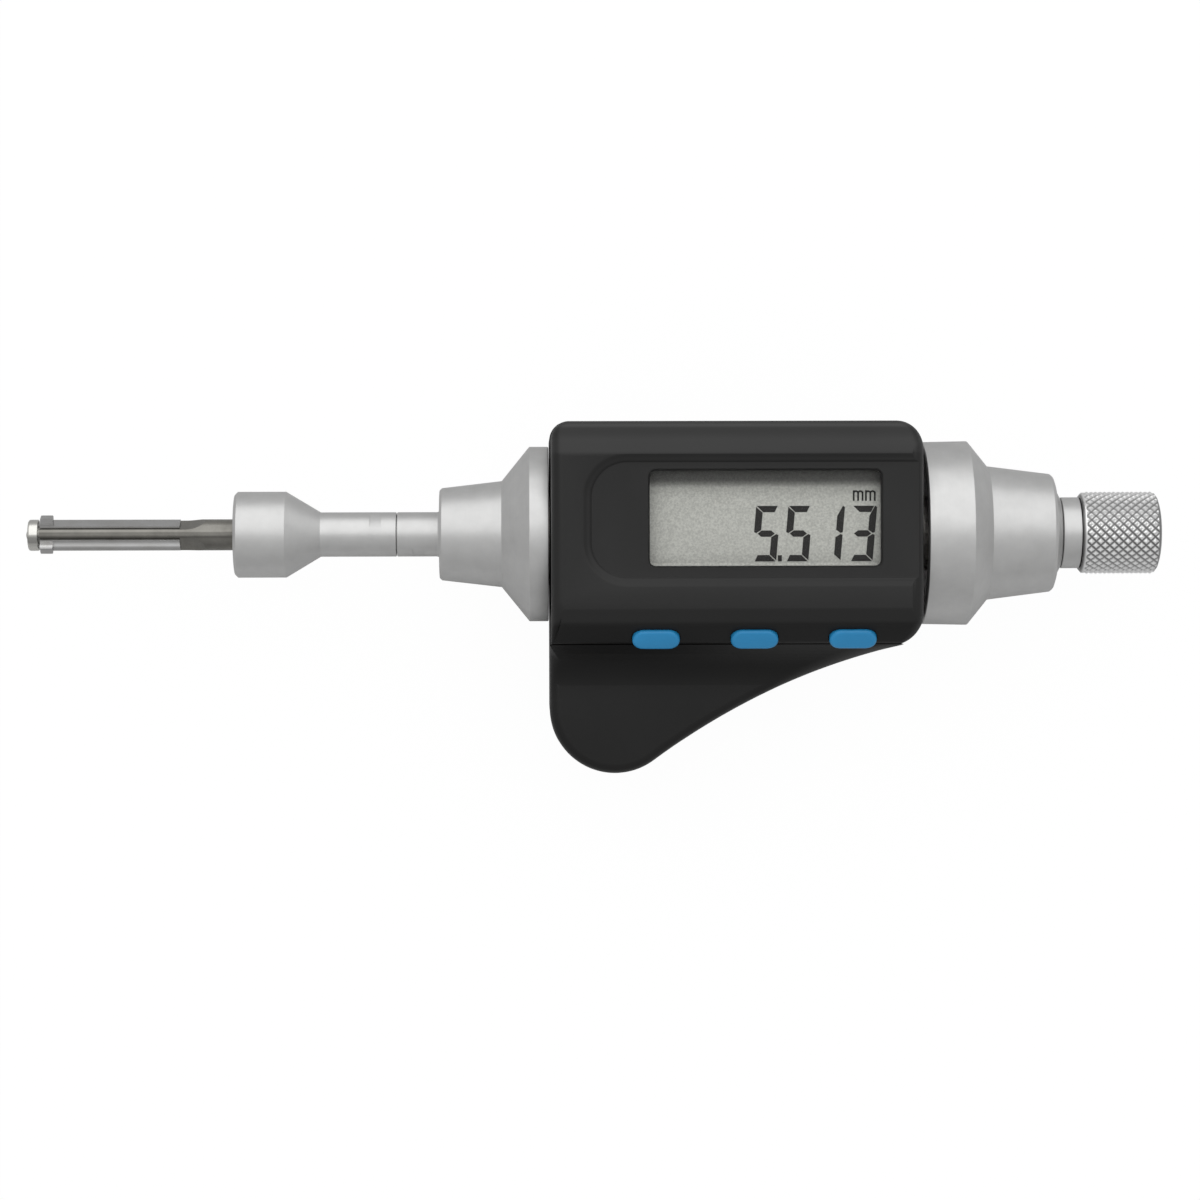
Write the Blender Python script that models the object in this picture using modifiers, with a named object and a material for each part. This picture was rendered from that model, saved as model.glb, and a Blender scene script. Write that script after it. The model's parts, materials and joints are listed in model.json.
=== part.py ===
"""Digital three-point inside micrometer, 5.5 to 6.5 mm, lying on the back of its housing.

Sizes are in millimetres. +X runs along the spindle towards the ratchet, +Y is the top
edge of the housing and +Z is the side with the display. The origin is on the back of the
housing, under the spindle's axis. Every turned piece shares that axis.
"""

import math

import bmesh
import bpy
from mathutils import Vector

MM = 0.001

# Fits
FIT = 0.1
JOINT_LINE = 0.1
EDGE_BREAK = 0.07
CUT_REACH = 1.0
SPINDLE_HEIGHT = 14.0

# Facets
FINE = 32
ROUND = 24
SMALL = 16
TINY = 10

# Measuring screw and range
CONE_SLOPE = 0.5
TRAVEL = 0.987

# Measuring head
STEM_LEFT = -96.9
STEM_R = 2.17
STEM_BORE_R = 1.2
STEM_SEAT = 8.2
FLAT_FLOOR = 1.5
FLAT_CUTTER_R = 6.2
JAW_ANGLES = (24.0, 144.0, 264.0)
CONTACT_LEFT = -96.74
CONTACT_LENGTH = 1.75
CONTACT_WIDTH = 1.2
CONTACT_R = 2.757
CONTACT_EDGE = 0.1
BLADE_WIDTH = 2.3
BLADE_THICKNESS = 0.28
BLADE_LIFT = 0.06
BLADE_LENGTH = 19.4
FLAT_PAST_BLADE = 0.74
FOOT_LENGTH = 0.6
FOOT_WIDTH = 0.7
FOOT_INSET = 0.55
FOOT_PLAY = 0.08
SLOT_PLAY = 0.15
SLOT_FLOOR = 0.4
NOSE_LENGTH = 1.45
NOSE_ROUND = 0.3
NOSE_WALL = 0.6
NOSE_BORE_R = 0.75
NOSE_SPIGOT = 0.5
NOSE_SCREW_R = 0.35
NOSE_HEAD_R = 0.85
NOSE_HEAD_RISE = 0.3
NOSE_GAP = 0.15
NOSE_SCREW_REACH = 0.2

# Cone rod and its spring
CONE_TIP_R = 0.3
ROD_PLAY = 0.1
CONE_TIP = -96.18
ROD_HEAD_LENGTH = 1.0
ROD_HEAD_R = 1.9
RETURN_SPRING_ROOM = 6.98
RETURN_SPRING_R = 1.75
RETURN_SPRING_WIRE = 0.25
RETURN_SPRING_TURNS = 4

# Head body
COLLAR_LEFT = -69.72
COLLAR_R = 6.0
COLLAR_CHAMFER = 0.42
COLLAR_LENGTH = 7.14
HEAD_CONE_LENGTH = 4.83
NECK_R = 3.1
HEAD_LENGTH = 22.54
SPRING_CHAMBER_R = 2.4
SPRING_CHAMBER_LENGTH = 9.8
SPANNER_FLAT_WIDTH = 1.6
SPANNER_ACROSS = 5.6
HEAD_FLAT_AT = -50.1
HEAD_FLAT_TURN = 44.0
HANDLE_FLAT_AT = -44.1
HANDLE_FLAT_TURN = -64.0

# Handle neck, sleeve and barrel
TRANSMISSION_R = 1.4
TRANSMISSION_BORE_R = 1.6
NECK_SPIGOT = 1.3
NECK_LENGTH = 6.0
NECK_FILLET = 0.5
FLANGE_LENGTH = 3.0
SLEEVE_LEFT = -41.16
SLEEVE_LIP = 2.0
SLEEVE_LEFT_R = 6.45
SLEEVE_TAPER_R = 7.42
SLEEVE_TAPER_LENGTH = 8.68
SLEEVE_CONE_LENGTH = 3.85
SLEEVE_R = 12.2
SLEEVE_EDGE = 0.3
SLEEVE_END_EDGE = 0.15
BARREL_R = 5.2
BARREL_BORE_R = 4.0
BARREL_RIGHT = -14.0
BUSH_LENGTH = 8.0
BUSH_AHEAD = 0.4
SEAL_R = 9.5
SEAL_THICKNESS = 1.0

# Spindle and screw
SPINDLE_R = 2.5
SPINDLE_LEFT = -24.5
SPINDLE_EDGE = 0.3
THREAD_R = 3.2
THREAD_LEFT = 10.0
SHOULDER_R = 4.2
SHOULDER_LENGTH = 4.2
STUD_R = 2.1
STUD_LENGTH = 1.6
NUT_LEFT = 12.0
NUT_LENGTH = 18.0
NUT_R = 4.5
NUT_SLEEVE_RIGHT = 36.0
NUT_FLANGE_R = 7.5
NUT_FLANGE_LENGTH = 2.0
KEY_WIDTH = 0.8
KEYWAY_FLOOR = 1.8
DISC_R = 7.9
DISC_THICKNESS = 0.8
DISC_GAP = 0.8
HUB_R = 3.6
HUB_LENGTH = 3.0

# Thimble
RIM_GAP = 0.6
RIM_R = 12.75
THIMBLE_R = 12.87
THIMBLE_CYLINDER = 6.45
THIMBLE_CONE_LENGTH = 2.85
THIMBLE_CONE_R = 9.36
THIMBLE_TAPER_LENGTH = 8.9
THIMBLE_END_R = 8.25
THIMBLE_DOME = 1.35
THIMBLE_HUB_R = 4.9
THIMBLE_WALL = 1.3
THIMBLE_END_WALL = 2.0
GUIDE_RING_LENGTH = 2.5
GUIDE_RING_GAP = 0.5
RIM_EDGE = 0.25

# Ratchet
RATCHET_NECK_LENGTH = 2.55
RATCHET_NECK_R = 4.97
RATCHET_NECK_CONE = 0.4
RATCHET_NECK_CONE_LENGTH = 0.6
RATCHET_SHAFT_R = 2.2
RATCHET_SHAFT_LENGTH = 9.4
KNOB_LENGTH = 11.1
KNOB_R = 5.77
KNURL_DEPTH = 0.42
KNURL_COUNT = 28
KNURL_PITCH = 1.27
KNOB_CHAMFER = 0.6
KNOB_CHAMBER_R = 4.2
KNOB_CHAMBER_LENGTH = 6.2
KNOB_BORE_R = 2.4
KNOB_RECESS_R = 3.3
KNOB_RECESS = 1.4
CLUTCH_LENGTH = 1.6
CLUTCH_TEETH = 12
CLUTCH_TOOTH = 0.35
CLUTCH_TOOTH_WIDTH = 0.7
CLUTCH_TOOTH_INSET = 0.2
RATCHET_SPRING_WIRE = 0.35
RATCHET_SPRING_TURNS = 3
RATCHET_SCREW_R = 0.9
RATCHET_SCREW_LENGTH = 5.0
RATCHET_PILOT_R = 0.5
SCREW_HEAD_EDGE = 0.2
SCREW_HEAD_SUNK = 0.25
SCREW_SLOT = 0.6

# Housing outline
BODY_LEFT = -25.86
BODY_RIGHT = 25.5
BODY_TOP = 15.6
TOP_LEFT_R = 2.65
TOP_RIGHT_R = 3.9
LOBE_BOTTOM = -33.26
LOBE_R = 9.06
CORNER_R = 4.49
CORNER_UP = 11.15
SWEEP_R = 98.4
PARTING = 20.0
BODY_FRONT = 29.0
BODY_EDGE = 0.5
COVER_STEP = 0.2
COVER_BOTTOM = -15.2
SHELF_TOP = -10.3
SHELF_EASE = 2.1
SHELF_EASE_DROP = 0.75
CROWN_START = 10.8
CROWN_R = 12.0
COVER_EDGE = 1.1
SHELF_BLOCK_TOP = -9.5
WALL = 1.8
BACK_WALL = 2.0
CAVITY_BOTTOM = -13.2
BATTERY_FLOOR = 6.9
DEEP_BOTTOM = -4.5
LOBE_WALL = 2.0
BARREL_HOLE_PLAY = 0.1
RIM_POCKET_R = 13.15
RIM_POCKET = 1.2

# Panel recess and window
RECESS_LEFT = -20.1
RECESS_TOP = 9.7
RECESS_BOTTOM = -5.95
RECESS_R = 4.8
RECESS_DEPTH = 0.6
RECESS_SLOPE = 1.25
WINDOW_RIGHT = 19.4
WINDOW_Y = 2.08
WINDOW_WIDTH = 31.6
WINDOW_HEIGHT = 13.0
WINDOW_R = 0.8
FRONT_WALL = 1.2
LENS_FLANGE = 0.9
LENS_FLANGE_THICKNESS = 1.0
LCD_THICKNESS = 1.1
LCD_MARGIN = 0.7
FRAME_WALL = 0.8
BOARD_TOP = 23.3
BOARD_THICKNESS = 1.0
BOARD_WIDTH = 39.0
BOARD_DEPTH = 20.0
STRIP_DEPTH = 1.4
CHIP_SIZE = 8.0
CHIP_THICKNESS = 0.9

# Buttons
BUTTON_NAMES = ("button_left", "button_middle", "button_right")
BUTTON_MIDDLE = 2.17
BUTTON_SPACING = 13.5
BUTTON_DROP = 1.45
BUTTON_LENGTH = 6.5
BUTTON_HEIGHT = 2.95
BUTTON_PROUD = 0.88
BUTTON_DEPTH = 2.3
BUTTON_CROWN = 0.35
BUTTON_TRAVEL = 0.5
EAR_LENGTH = 0.8
EAR_THICKNESS = 0.55
EAR_HEIGHT = 2.4
NUB_R = 0.8
NUB_LENGTH = 0.6
PILL_EDGE = 0.01
SHELF_WALL = 1.55
MAT_THICKNESS = 0.8
MAT_HEIGHT = 3.2
MAT_ROOM = 0.8

# Battery
CELL_X = -12.6
CELL_Y = -17.3
CELL_R = 10.0
CELL_THICKNESS = 3.2
CELL_PLAY = 0.25
CELL_EDGE = 0.3
CELL_HEADROOM = 0.3
SEAL_ROOM = 0.35
LEAF_LENGTH = 7.0
LEAF_WIDTH = 2.4
LEAF_THICKNESS = 0.15
CAP_R = 10.9
CAP_THICKNESS = 1.4
CAP_INSET = 0.2
CAP_EDGE = 0.2
CAP_SLOT_LENGTH = 9.0
CAP_SLOT_WIDTH = 1.8
CAP_SLOT_DEPTH = 0.7
LUG_ANGLES = (90.0, 210.0, 330.0)
LUG_REACH = 0.45
LUG_WIDTH = 3.0
LUG_THICKNESS = 0.5
LUG_PLAY = 0.25
CAP_TURN = 45.0

# Gasket and screws
GASKET_INSET = 0.55
GASKET_WIDTH = 0.7
GASKET_THICKNESS = 0.5
SCREW_SPOTS = ((-22.0, 12.0), (22.1, 12.2), (-22.3, -7.4), (21.6, -11.4))
BOSS_R = 1.9
HOUSING_SCREW_R = 0.8
HOUSING_SCREW_HEAD_R = 1.5
HOUSING_SCREW_HEAD = 1.2
HOUSING_SCREW_TIP = 25.0
SCREW_HEAD_INSET = 0.4

# Places worked out from the sizes above
NOSE_LEFT = STEM_LEFT - NOSE_GAP - NOSE_LENGTH
CONE_LENGTH = (STEM_BORE_R - ROD_PLAY - CONE_TIP_R) / CONE_SLOPE
FLAT_RIGHT = CONTACT_LEFT + BLADE_LENGTH + FLAT_PAST_BLADE
CONTACT_RIGHT = CONTACT_LEFT + CONTACT_LENGTH
HEAD_RIGHT = COLLAR_LEFT + HEAD_LENGTH
NECK_LEFT = HEAD_RIGHT + JOINT_LINE
SPRING_CHAMBER_LEFT = HEAD_RIGHT - SPRING_CHAMBER_LENGTH
ROD_HEAD_LEFT = SPRING_CHAMBER_LEFT + RETURN_SPRING_ROOM
ROD_HEAD_RIGHT = ROD_HEAD_LEFT + ROD_HEAD_LENGTH
FLANGE_LEFT = SLEEVE_LEFT + SLEEVE_LIP + FIT
FLANGE_RIGHT = FLANGE_LEFT + FLANGE_LENGTH
SLEEVE_RIGHT = BODY_LEFT - FIT
BUSH_LEFT = SPINDLE_LEFT - TRAVEL - BUSH_AHEAD
STATOR_LEFT = BARREL_RIGHT + FIT
ROTOR_LEFT = STATOR_LEFT + DISC_THICKNESS + DISC_GAP
ROTOR_RIGHT = ROTOR_LEFT + DISC_THICKNESS + HUB_LENGTH
NUT_SLEEVE_LEFT = ROTOR_RIGHT + FIT
NUT_FLANGE_LEFT = BODY_RIGHT - RIM_POCKET - WALL - FIT - NUT_FLANGE_LENGTH
RIM_LEFT = BODY_RIGHT + RIM_GAP
TAPER_RIGHT = RIM_LEFT + THIMBLE_CYLINDER + THIMBLE_CONE_LENGTH + THIMBLE_TAPER_LENGTH
THIMBLE_RIGHT = TAPER_RIGHT + THIMBLE_DOME
SHOULDER_RIGHT = THIMBLE_RIGHT - THIMBLE_END_WALL - FIT
RATCHET_LEFT = THIMBLE_RIGHT + FIT
KNOB_LEFT = RATCHET_LEFT + RATCHET_NECK_LENGTH + FIT
KNOB_RIGHT = KNOB_LEFT + KNOB_LENGTH
SHAFT_RIGHT = RATCHET_LEFT + RATCHET_NECK_LENGTH + RATCHET_SHAFT_LENGTH
KNOB_RECESS_LEFT = KNOB_RIGHT - KNOB_RECESS
RECESS_FLOOR = BODY_FRONT - RECESS_DEPTH
FRONT_INSIDE = RECESS_FLOOR - FRONT_WALL
WINDOW_X = WINDOW_RIGHT - WINDOW_WIDTH / 2.0
LCD_WIDTH = WINDOW_WIDTH + 2.0 * LCD_MARGIN
LCD_HEIGHT = WINDOW_HEIGHT + 2.0 * LCD_MARGIN
LENS_TOP = RECESS_FLOOR - FIT
LENS_FLANGE_TOP = FRONT_INSIDE - FIT
LCD_TOP = LENS_FLANGE_TOP - LENS_FLANGE_THICKNESS - FIT
SHELF_ANGLE = math.radians(45.0)
SHELF_Y = SHELF_TOP - SHELF_EASE
SHELF_Z = BODY_FRONT - SHELF_EASE_DROP
CELL_BOTTOM = CAP_INSET + CAP_THICKNESS + SEAL_ROOM
CELL_TOP = CELL_BOTTOM + CELL_THICKNESS


def collection(name):
    """A new collection in the scene."""
    group = bpy.data.collections.new(name)
    bpy.context.scene.collection.children.link(group)
    return group


for old in list(bpy.data.objects):
    bpy.data.objects.remove(old)

PARTS = collection("inside_micrometer")
CUTTERS = collection("cutters")


def material(name, colour, roughness, metallic=0.0, alpha=1.0):
    """A Principled material of one colour."""
    made = bpy.data.materials.new(name)
    made.use_nodes = True
    shader = made.node_tree.nodes["Principled BSDF"]
    shader.inputs["Base Color"].default_value = (*colour, 1.0)
    shader.inputs["Roughness"].default_value = roughness
    shader.inputs["Metallic"].default_value = metallic
    shader.inputs["Alpha"].default_value = alpha
    return made


SATIN_CHROME = material("satin_chrome", (0.62, 0.62, 0.61), 0.38, 1.0)
GROUND_STEEL = material("ground_steel", (0.50, 0.49, 0.47), 0.25, 1.0)
CARBIDE = material("carbide", (0.36, 0.35, 0.35), 0.3, 1.0)
SPRING_STEEL = material("spring_steel", (0.45, 0.44, 0.42), 0.35, 1.0)
BRASS = material("brass", (0.72, 0.53, 0.25), 0.35, 1.0)
DARK_PLASTIC = material("dark_plastic", (0.032, 0.032, 0.031), 0.55)
BLUE_PLASTIC = material("blue_plastic", (0.03, 0.24, 0.50), 0.45)
WHITE_PLASTIC = material("white_plastic", (0.75, 0.75, 0.72), 0.5)
RUBBER = material("rubber", (0.02, 0.02, 0.02), 0.8)
CLEAR = material("clear_window", (0.9, 0.92, 0.92), 0.05, 0.0, 0.2)
LCD_GREY = material("lcd_grey", (0.42, 0.43, 0.38), 0.4)
BOARD_GREEN = material("board_green", (0.03, 0.16, 0.07), 0.5)


def link(name, mesh, group, look=None):
    """An object made from a mesh and put in a collection."""
    made = bpy.data.objects.new(name, mesh)
    group.objects.link(made)
    if look:
        mesh.materials.append(look)
    if group is CUTTERS:
        made.hide_render = True
        made.display_type = "WIRE"
    return made


def smooth(piece, angle=35.0):
    """Round faces shaded smooth, edges over the angle kept sharp."""
    piece.data.shade_smooth()
    piece.data.set_sharp_from_angle(angle=math.radians(angle))
    return piece


def turned(name, outline, look, steps=ROUND, group=PARTS):
    """A solid of revolution about the spindle's axis, from (x, radius) points."""
    points = [Vector((radius * MM, 0.0, x * MM)) for x, radius in outline]
    closed = outline[0][1] > 0.0
    pairs = zip(points, points[1:] + points[:1])
    area = sum(a.x * b.z - b.x * a.z for a, b in pairs)
    if area > 0.0:
        points.reverse()
    edges = [(i, i + 1) for i in range(len(points) - 1)]
    if closed:
        edges.append((len(points) - 1, 0))
    mesh = bpy.data.meshes.new(name)
    mesh.from_pydata(points, edges, [])
    made = link(name, mesh, group, look)
    made.rotation_euler = (0.0, math.pi / 2.0, 0.0)
    made.location = (0.0, 0.0, SPINDLE_HEIGHT * MM)
    screw = made.modifiers.new("Turn", "SCREW")
    screw.axis = "Z"
    screw.steps = round(steps)
    screw.render_steps = round(steps)
    screw.use_merge_vertices = True
    screw.merge_threshold = 0.00001
    screw.use_smooth_shade = True
    return made


def upright(piece, x, y, z=0.0):
    """A turned piece stood on a vertical axis instead of the spindle's."""
    piece.rotation_euler = (0.0, 0.0, 0.0)
    piece.location = (x * MM, y * MM, z * MM)
    return piece


def flat(name, outline, low, high, look=None, group=PARTS):
    """An outline of (x, y) points made a plate between two heights."""
    curve = bpy.data.curves.new(name, "CURVE")
    curve.dimensions = "2D"
    curve.fill_mode = "BOTH"
    curve.extrude = (high - low) / 2.0 * MM
    spline = curve.splines.new("POLY")
    spline.points.add(len(outline) - 1)
    for point, (x, y) in zip(spline.points, outline):
        point.co = (x * MM, y * MM, 0.0, 1.0)
    spline.use_cyclic_u = True
    drawn = bpy.data.objects.new(name + "_outline", curve)
    bpy.context.scene.collection.objects.link(drawn)
    depsgraph = bpy.context.evaluated_depsgraph_get()
    mesh = bpy.data.meshes.new_from_object(drawn.evaluated_get(depsgraph))
    bpy.data.objects.remove(drawn)
    shape = bmesh.new()
    shape.from_mesh(mesh)
    bmesh.ops.remove_doubles(shape, verts=shape.verts, dist=0.000001)
    bmesh.ops.recalc_face_normals(shape, faces=shape.faces)
    bmesh.ops.translate(shape, verts=shape.verts, vec=(0.0, 0.0, (low + high) / 2.0 * MM))
    shape.to_mesh(mesh)
    shape.free()
    mesh.materials.clear()
    return link(name, mesh, group, look)


def box(name, size, centre, look=None, group=PARTS):
    """A box of a size, about a centre."""
    shape = bmesh.new()
    bmesh.ops.create_cube(shape, size=1.0)
    bmesh.ops.scale(shape, verts=shape.verts, vec=[side * MM for side in size])
    mesh = bpy.data.meshes.new(name)
    shape.to_mesh(mesh)
    shape.free()
    made = link(name, mesh, group, look)
    made.location = [place * MM for place in centre]
    return made


def boolean(piece, other, operation):
    """A Boolean modifier; the other solid is kept as a cutter."""
    step = piece.modifiers.new(other.name, "BOOLEAN")
    step.operation = operation
    step.solver = "EXACT"
    step.object = other
    return piece


def cut(piece, *cutters):
    """Each cutter taken out of the piece."""
    for cutter in cutters:
        boolean(piece, cutter, "DIFFERENCE")
    return piece


def add(piece, *others):
    """Each other solid joined to the piece."""
    for other in others:
        boolean(piece, other, "UNION")
    return piece


def bevel(piece, width, segments=2, angle=40.0):
    """Edges sharper than an angle made round."""
    step = piece.modifiers.new("Edges", "BEVEL")
    step.width = width * MM
    step.segments = segments
    step.limit_method = "ANGLE"
    step.angle_limit = math.radians(angle)
    return piece


def arc(x, y, radius, start, end, steps):
    """Points of an arc, angles in degrees."""
    turns = [math.radians(start + (end - start) * i / steps) for i in range(steps + 1)]
    return [(x + radius * math.cos(turn), y + radius * math.sin(turn)) for turn in turns]


def rounded_rectangle(x, y, width, height, radius, steps=4):
    """A rectangle with round corners about a centre."""
    across = width / 2.0 - radius
    up = height / 2.0 - radius
    points = []
    for quarter, (side, rise) in enumerate(((1, 1), (-1, 1), (-1, -1), (1, -1))):
        start = 90.0 * quarter
        points += arc(x + side * across, y + rise * up, radius, start, start + 90.0, steps)
    return points


def ring(name, inner, outer, left, right, look, steps=ROUND, group=PARTS):
    """A plain turned ring or tube."""
    outline = [(left, inner), (left, outer), (right, outer), (right, inner)]
    return turned(name, outline, look, steps, group)


def rod(name, radius, left, right, look, steps=ROUND, group=PARTS):
    """A plain turned rod."""
    outline = [(left, 0.0), (left, radius), (right, radius), (right, 0.0)]
    return turned(name, outline, look, steps, group)


def coil(name, left, right, radius, wire, turns, look, steps=9):
    """A helical spring about the spindle's axis."""
    curve = bpy.data.curves.new(name, "CURVE")
    curve.dimensions = "3D"
    curve.bevel_depth = wire * MM
    curve.bevel_resolution = 1
    curve.use_fill_caps = True
    spline = curve.splines.new("POLY")
    count = turns * steps
    spline.points.add(count)
    for i, point in enumerate(spline.points):
        turn = 2.0 * math.pi * i / steps
        along = left + wire + (right - left - 2.0 * wire) * i / count
        across = radius * math.cos(turn)
        point.co = (along * MM, across * MM, radius * math.sin(turn) * MM, 1.0)
    made = bpy.data.objects.new(name, curve)
    made.location = (0.0, 0.0, SPINDLE_HEIGHT * MM)
    curve.materials.append(look)
    PARTS.objects.link(made)
    return made


def around_axis(piece, angle):
    """A piece modelled at the top of the axis, turned round it towards the front."""
    piece.rotation_euler = (math.radians(angle), 0.0, 0.0)
    piece.location = (0.0, 0.0, SPINDLE_HEIGHT * MM)
    return piece


def side_profile(name, outline, width, look=None, group=PARTS):
    """An outline of (x, height) points given a width across the height's plane."""
    made = flat(name, outline, -width / 2.0, width / 2.0, look, group)
    return made


def stem_tube():
    """Thin tube with three long flats and a slot in each for the contact's foot."""
    right = COLLAR_LEFT + STEM_SEAT
    stem = ring("stem_tube", STEM_BORE_R, STEM_R, STEM_LEFT, right, GROUND_STEEL, ROUND)
    for number, angle in enumerate(JAW_ANGLES, 1):
        top = STEM_R + CUT_REACH
        runout = math.degrees(math.acos(1.0 - (top - FLAT_FLOOR) / FLAT_CUTTER_R))
        centre = FLAT_FLOOR + FLAT_CUTTER_R
        swept = arc(FLAT_RIGHT, centre, FLAT_CUTTER_R, -90.0, -90.0 + runout, 6)
        start = STEM_LEFT - CUT_REACH
        outline = [(start, top), (start, FLAT_FLOOR)] + swept
        flat_cut = side_profile(f"flat_cut_{number}", outline, 2.0 * STEM_R, None, CUTTERS)
        slot_left = foot_left() - SLOT_PLAY
        slot_right = foot_left() + FOOT_LENGTH + SLOT_PLAY
        slot = [(slot_left, SLOT_FLOOR), (slot_right, SLOT_FLOOR), (slot_right, top)]
        slot += [(slot_left, top)]
        slot_cut = side_profile(f"slot_cut_{number}", slot, FOOT_WIDTH + 2.0 * SLOT_PLAY, None, CUTTERS)
        cut(stem, around_axis(flat_cut, angle), around_axis(slot_cut, angle))
    return stem


def foot_left():
    """Where the contact's foot begins."""
    return CONTACT_LEFT + FOOT_INSET


def cone_radius(x):
    """Radius of the measuring cone at a place, at rest."""
    return CONE_TIP_R + (x - CONE_TIP) * CONE_SLOPE


def jaws():
    """Contacts on leaf blades, with feet that ride on the cone."""
    blade_low = FLAT_FLOOR + BLADE_LIFT
    blade_high = blade_low + BLADE_THICKNESS
    left = foot_left()
    right = left + FOOT_LENGTH
    for number, angle in enumerate(JAW_ANGLES, 1):
        blade = [(CONTACT_LEFT, blade_low), (CONTACT_LEFT + BLADE_LENGTH, blade_low)]
        blade += [(CONTACT_LEFT + BLADE_LENGTH, blade_high), (CONTACT_LEFT, blade_high)]
        jaw = side_profile(f"jaw_{number}", blade, BLADE_WIDTH, CARBIDE)
        mid = (blade_low + blade_high) / 2.0
        tip = [(CONTACT_LEFT, mid), (CONTACT_RIGHT, mid), (CONTACT_RIGHT, CONTACT_R - CONTACT_EDGE)]
        tip += [(CONTACT_RIGHT - CONTACT_EDGE, CONTACT_R)]
        tip += [(CONTACT_LEFT + CONTACT_EDGE, CONTACT_R)]
        tip += [(CONTACT_LEFT, CONTACT_R - CONTACT_EDGE)]
        contact = side_profile(f"contact_{number}", tip, CONTACT_WIDTH, None, CUTTERS)
        low = FOOT_PLAY * math.hypot(1.0, CONE_SLOPE)
        foot_shape = [(left, cone_radius(left) + low), (right, cone_radius(right) + low)]
        foot_shape += [(right, mid), (left, mid)]
        foot = side_profile(f"foot_{number}", foot_shape, FOOT_WIDTH, None, CUTTERS)
        for piece in (jaw, contact, foot):
            around_axis(piece, angle)
        add(jaw, contact, foot)


def nose():
    """Cap on the end of the stem and the small screw in it."""
    right = NOSE_LEFT + NOSE_LENGTH
    outline = arc(NOSE_LEFT + NOSE_ROUND, STEM_R - NOSE_ROUND, NOSE_ROUND, 180.0, 90.0, 3)
    outline += [(right - EDGE_BREAK, STEM_R), (right, STEM_R - EDGE_BREAK)]
    outline += [(right, STEM_BORE_R - FIT), (right + NOSE_SPIGOT, STEM_BORE_R - FIT)]
    outline += [(right + NOSE_SPIGOT, NOSE_BORE_R), (NOSE_LEFT + NOSE_WALL, NOSE_BORE_R)]
    hole = NOSE_SCREW_R + FIT
    outline += [(NOSE_LEFT + NOSE_WALL, hole), (NOSE_LEFT, hole)]
    turned("nose_cap", outline, GROUND_STEEL, SMALL)
    face = NOSE_LEFT - 0.05
    sphere_r = (NOSE_HEAD_R ** 2 + NOSE_HEAD_RISE ** 2) / (2.0 * NOSE_HEAD_RISE)
    span = math.degrees(math.asin(NOSE_HEAD_R / sphere_r))
    dome = arc(face - NOSE_HEAD_RISE + sphere_r, 0.0, sphere_r, 180.0, 180.0 - span, 4)
    dome[0] = (dome[0][0], 0.0)
    tip = NOSE_LEFT + NOSE_WALL + NOSE_SCREW_REACH
    screw = dome + [(face, NOSE_SCREW_R), (tip, NOSE_SCREW_R), (tip, 0.0)]
    turned("nose_screw", screw, GROUND_STEEL, TINY)


def cone_rod():
    """Measuring cone, its rod and the head that the spring lifts."""
    rod_r = STEM_BORE_R - ROD_PLAY
    outline = [(CONE_TIP, 0.0), (CONE_TIP, CONE_TIP_R), (CONE_TIP + CONE_LENGTH, rod_r)]
    outline += [(ROD_HEAD_LEFT, rod_r), (ROD_HEAD_LEFT, ROD_HEAD_R)]
    outline += [(ROD_HEAD_RIGHT, ROD_HEAD_R), (ROD_HEAD_RIGHT, 0.0)]
    turned("measuring_cone_rod", outline, CARBIDE, SMALL)
    end = ROD_HEAD_LEFT - TRAVEL - FIT
    coil("return_spring", SPRING_CHAMBER_LEFT + FIT, end, RETURN_SPRING_R, RETURN_SPRING_WIRE,
         RETURN_SPRING_TURNS, SPRING_STEEL)


def spanner_flat(name, x, turn):
    """A cutter for a flat that a spanner holds, seen at an angle from the display side."""
    low = SPANNER_ACROSS / 2.0
    high = low + 2.0 * CUT_REACH
    across = 2.0 * NECK_R
    sides = [(x - SPANNER_FLAT_WIDTH / 2.0, low), (x + SPANNER_FLAT_WIDTH / 2.0, low)]
    sides += [(x + SPANNER_FLAT_WIDTH / 2.0, high), (x - SPANNER_FLAT_WIDTH / 2.0, high)]
    flat_cut = side_profile(name, sides, across, None, CUTTERS)
    return around_axis(flat_cut, 90.0 - turn)


def head_body():
    """Collar, cone and spanner neck, turned in one."""
    seat = COLLAR_LEFT + STEM_SEAT + FIT
    cone_left = COLLAR_LEFT + COLLAR_LENGTH
    cone_right = cone_left + HEAD_CONE_LENGTH
    outline = [(COLLAR_LEFT, STEM_R + FIT), (COLLAR_LEFT, COLLAR_R - COLLAR_CHAMFER)]
    outline += [(COLLAR_LEFT + COLLAR_CHAMFER, COLLAR_R), (cone_left, COLLAR_R)]
    outline += [(cone_right, NECK_R), (HEAD_RIGHT - EDGE_BREAK, NECK_R)]
    outline += [(HEAD_RIGHT, NECK_R - EDGE_BREAK)]
    outline += [(HEAD_RIGHT, SPRING_CHAMBER_R), (SPRING_CHAMBER_LEFT, SPRING_CHAMBER_R)]
    outline += [(SPRING_CHAMBER_LEFT, STEM_BORE_R + FIT), (seat, STEM_BORE_R + FIT)]
    outline += [(seat, STEM_R + FIT)]
    head = turned("head_body", outline, SATIN_CHROME, FINE)
    across = spanner_flat("head_flat_a", HEAD_FLAT_AT, HEAD_FLAT_TURN)
    behind = spanner_flat("head_flat_b", HEAD_FLAT_AT, HEAD_FLAT_TURN + 180.0)
    return cut(head, across, behind)


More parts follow.
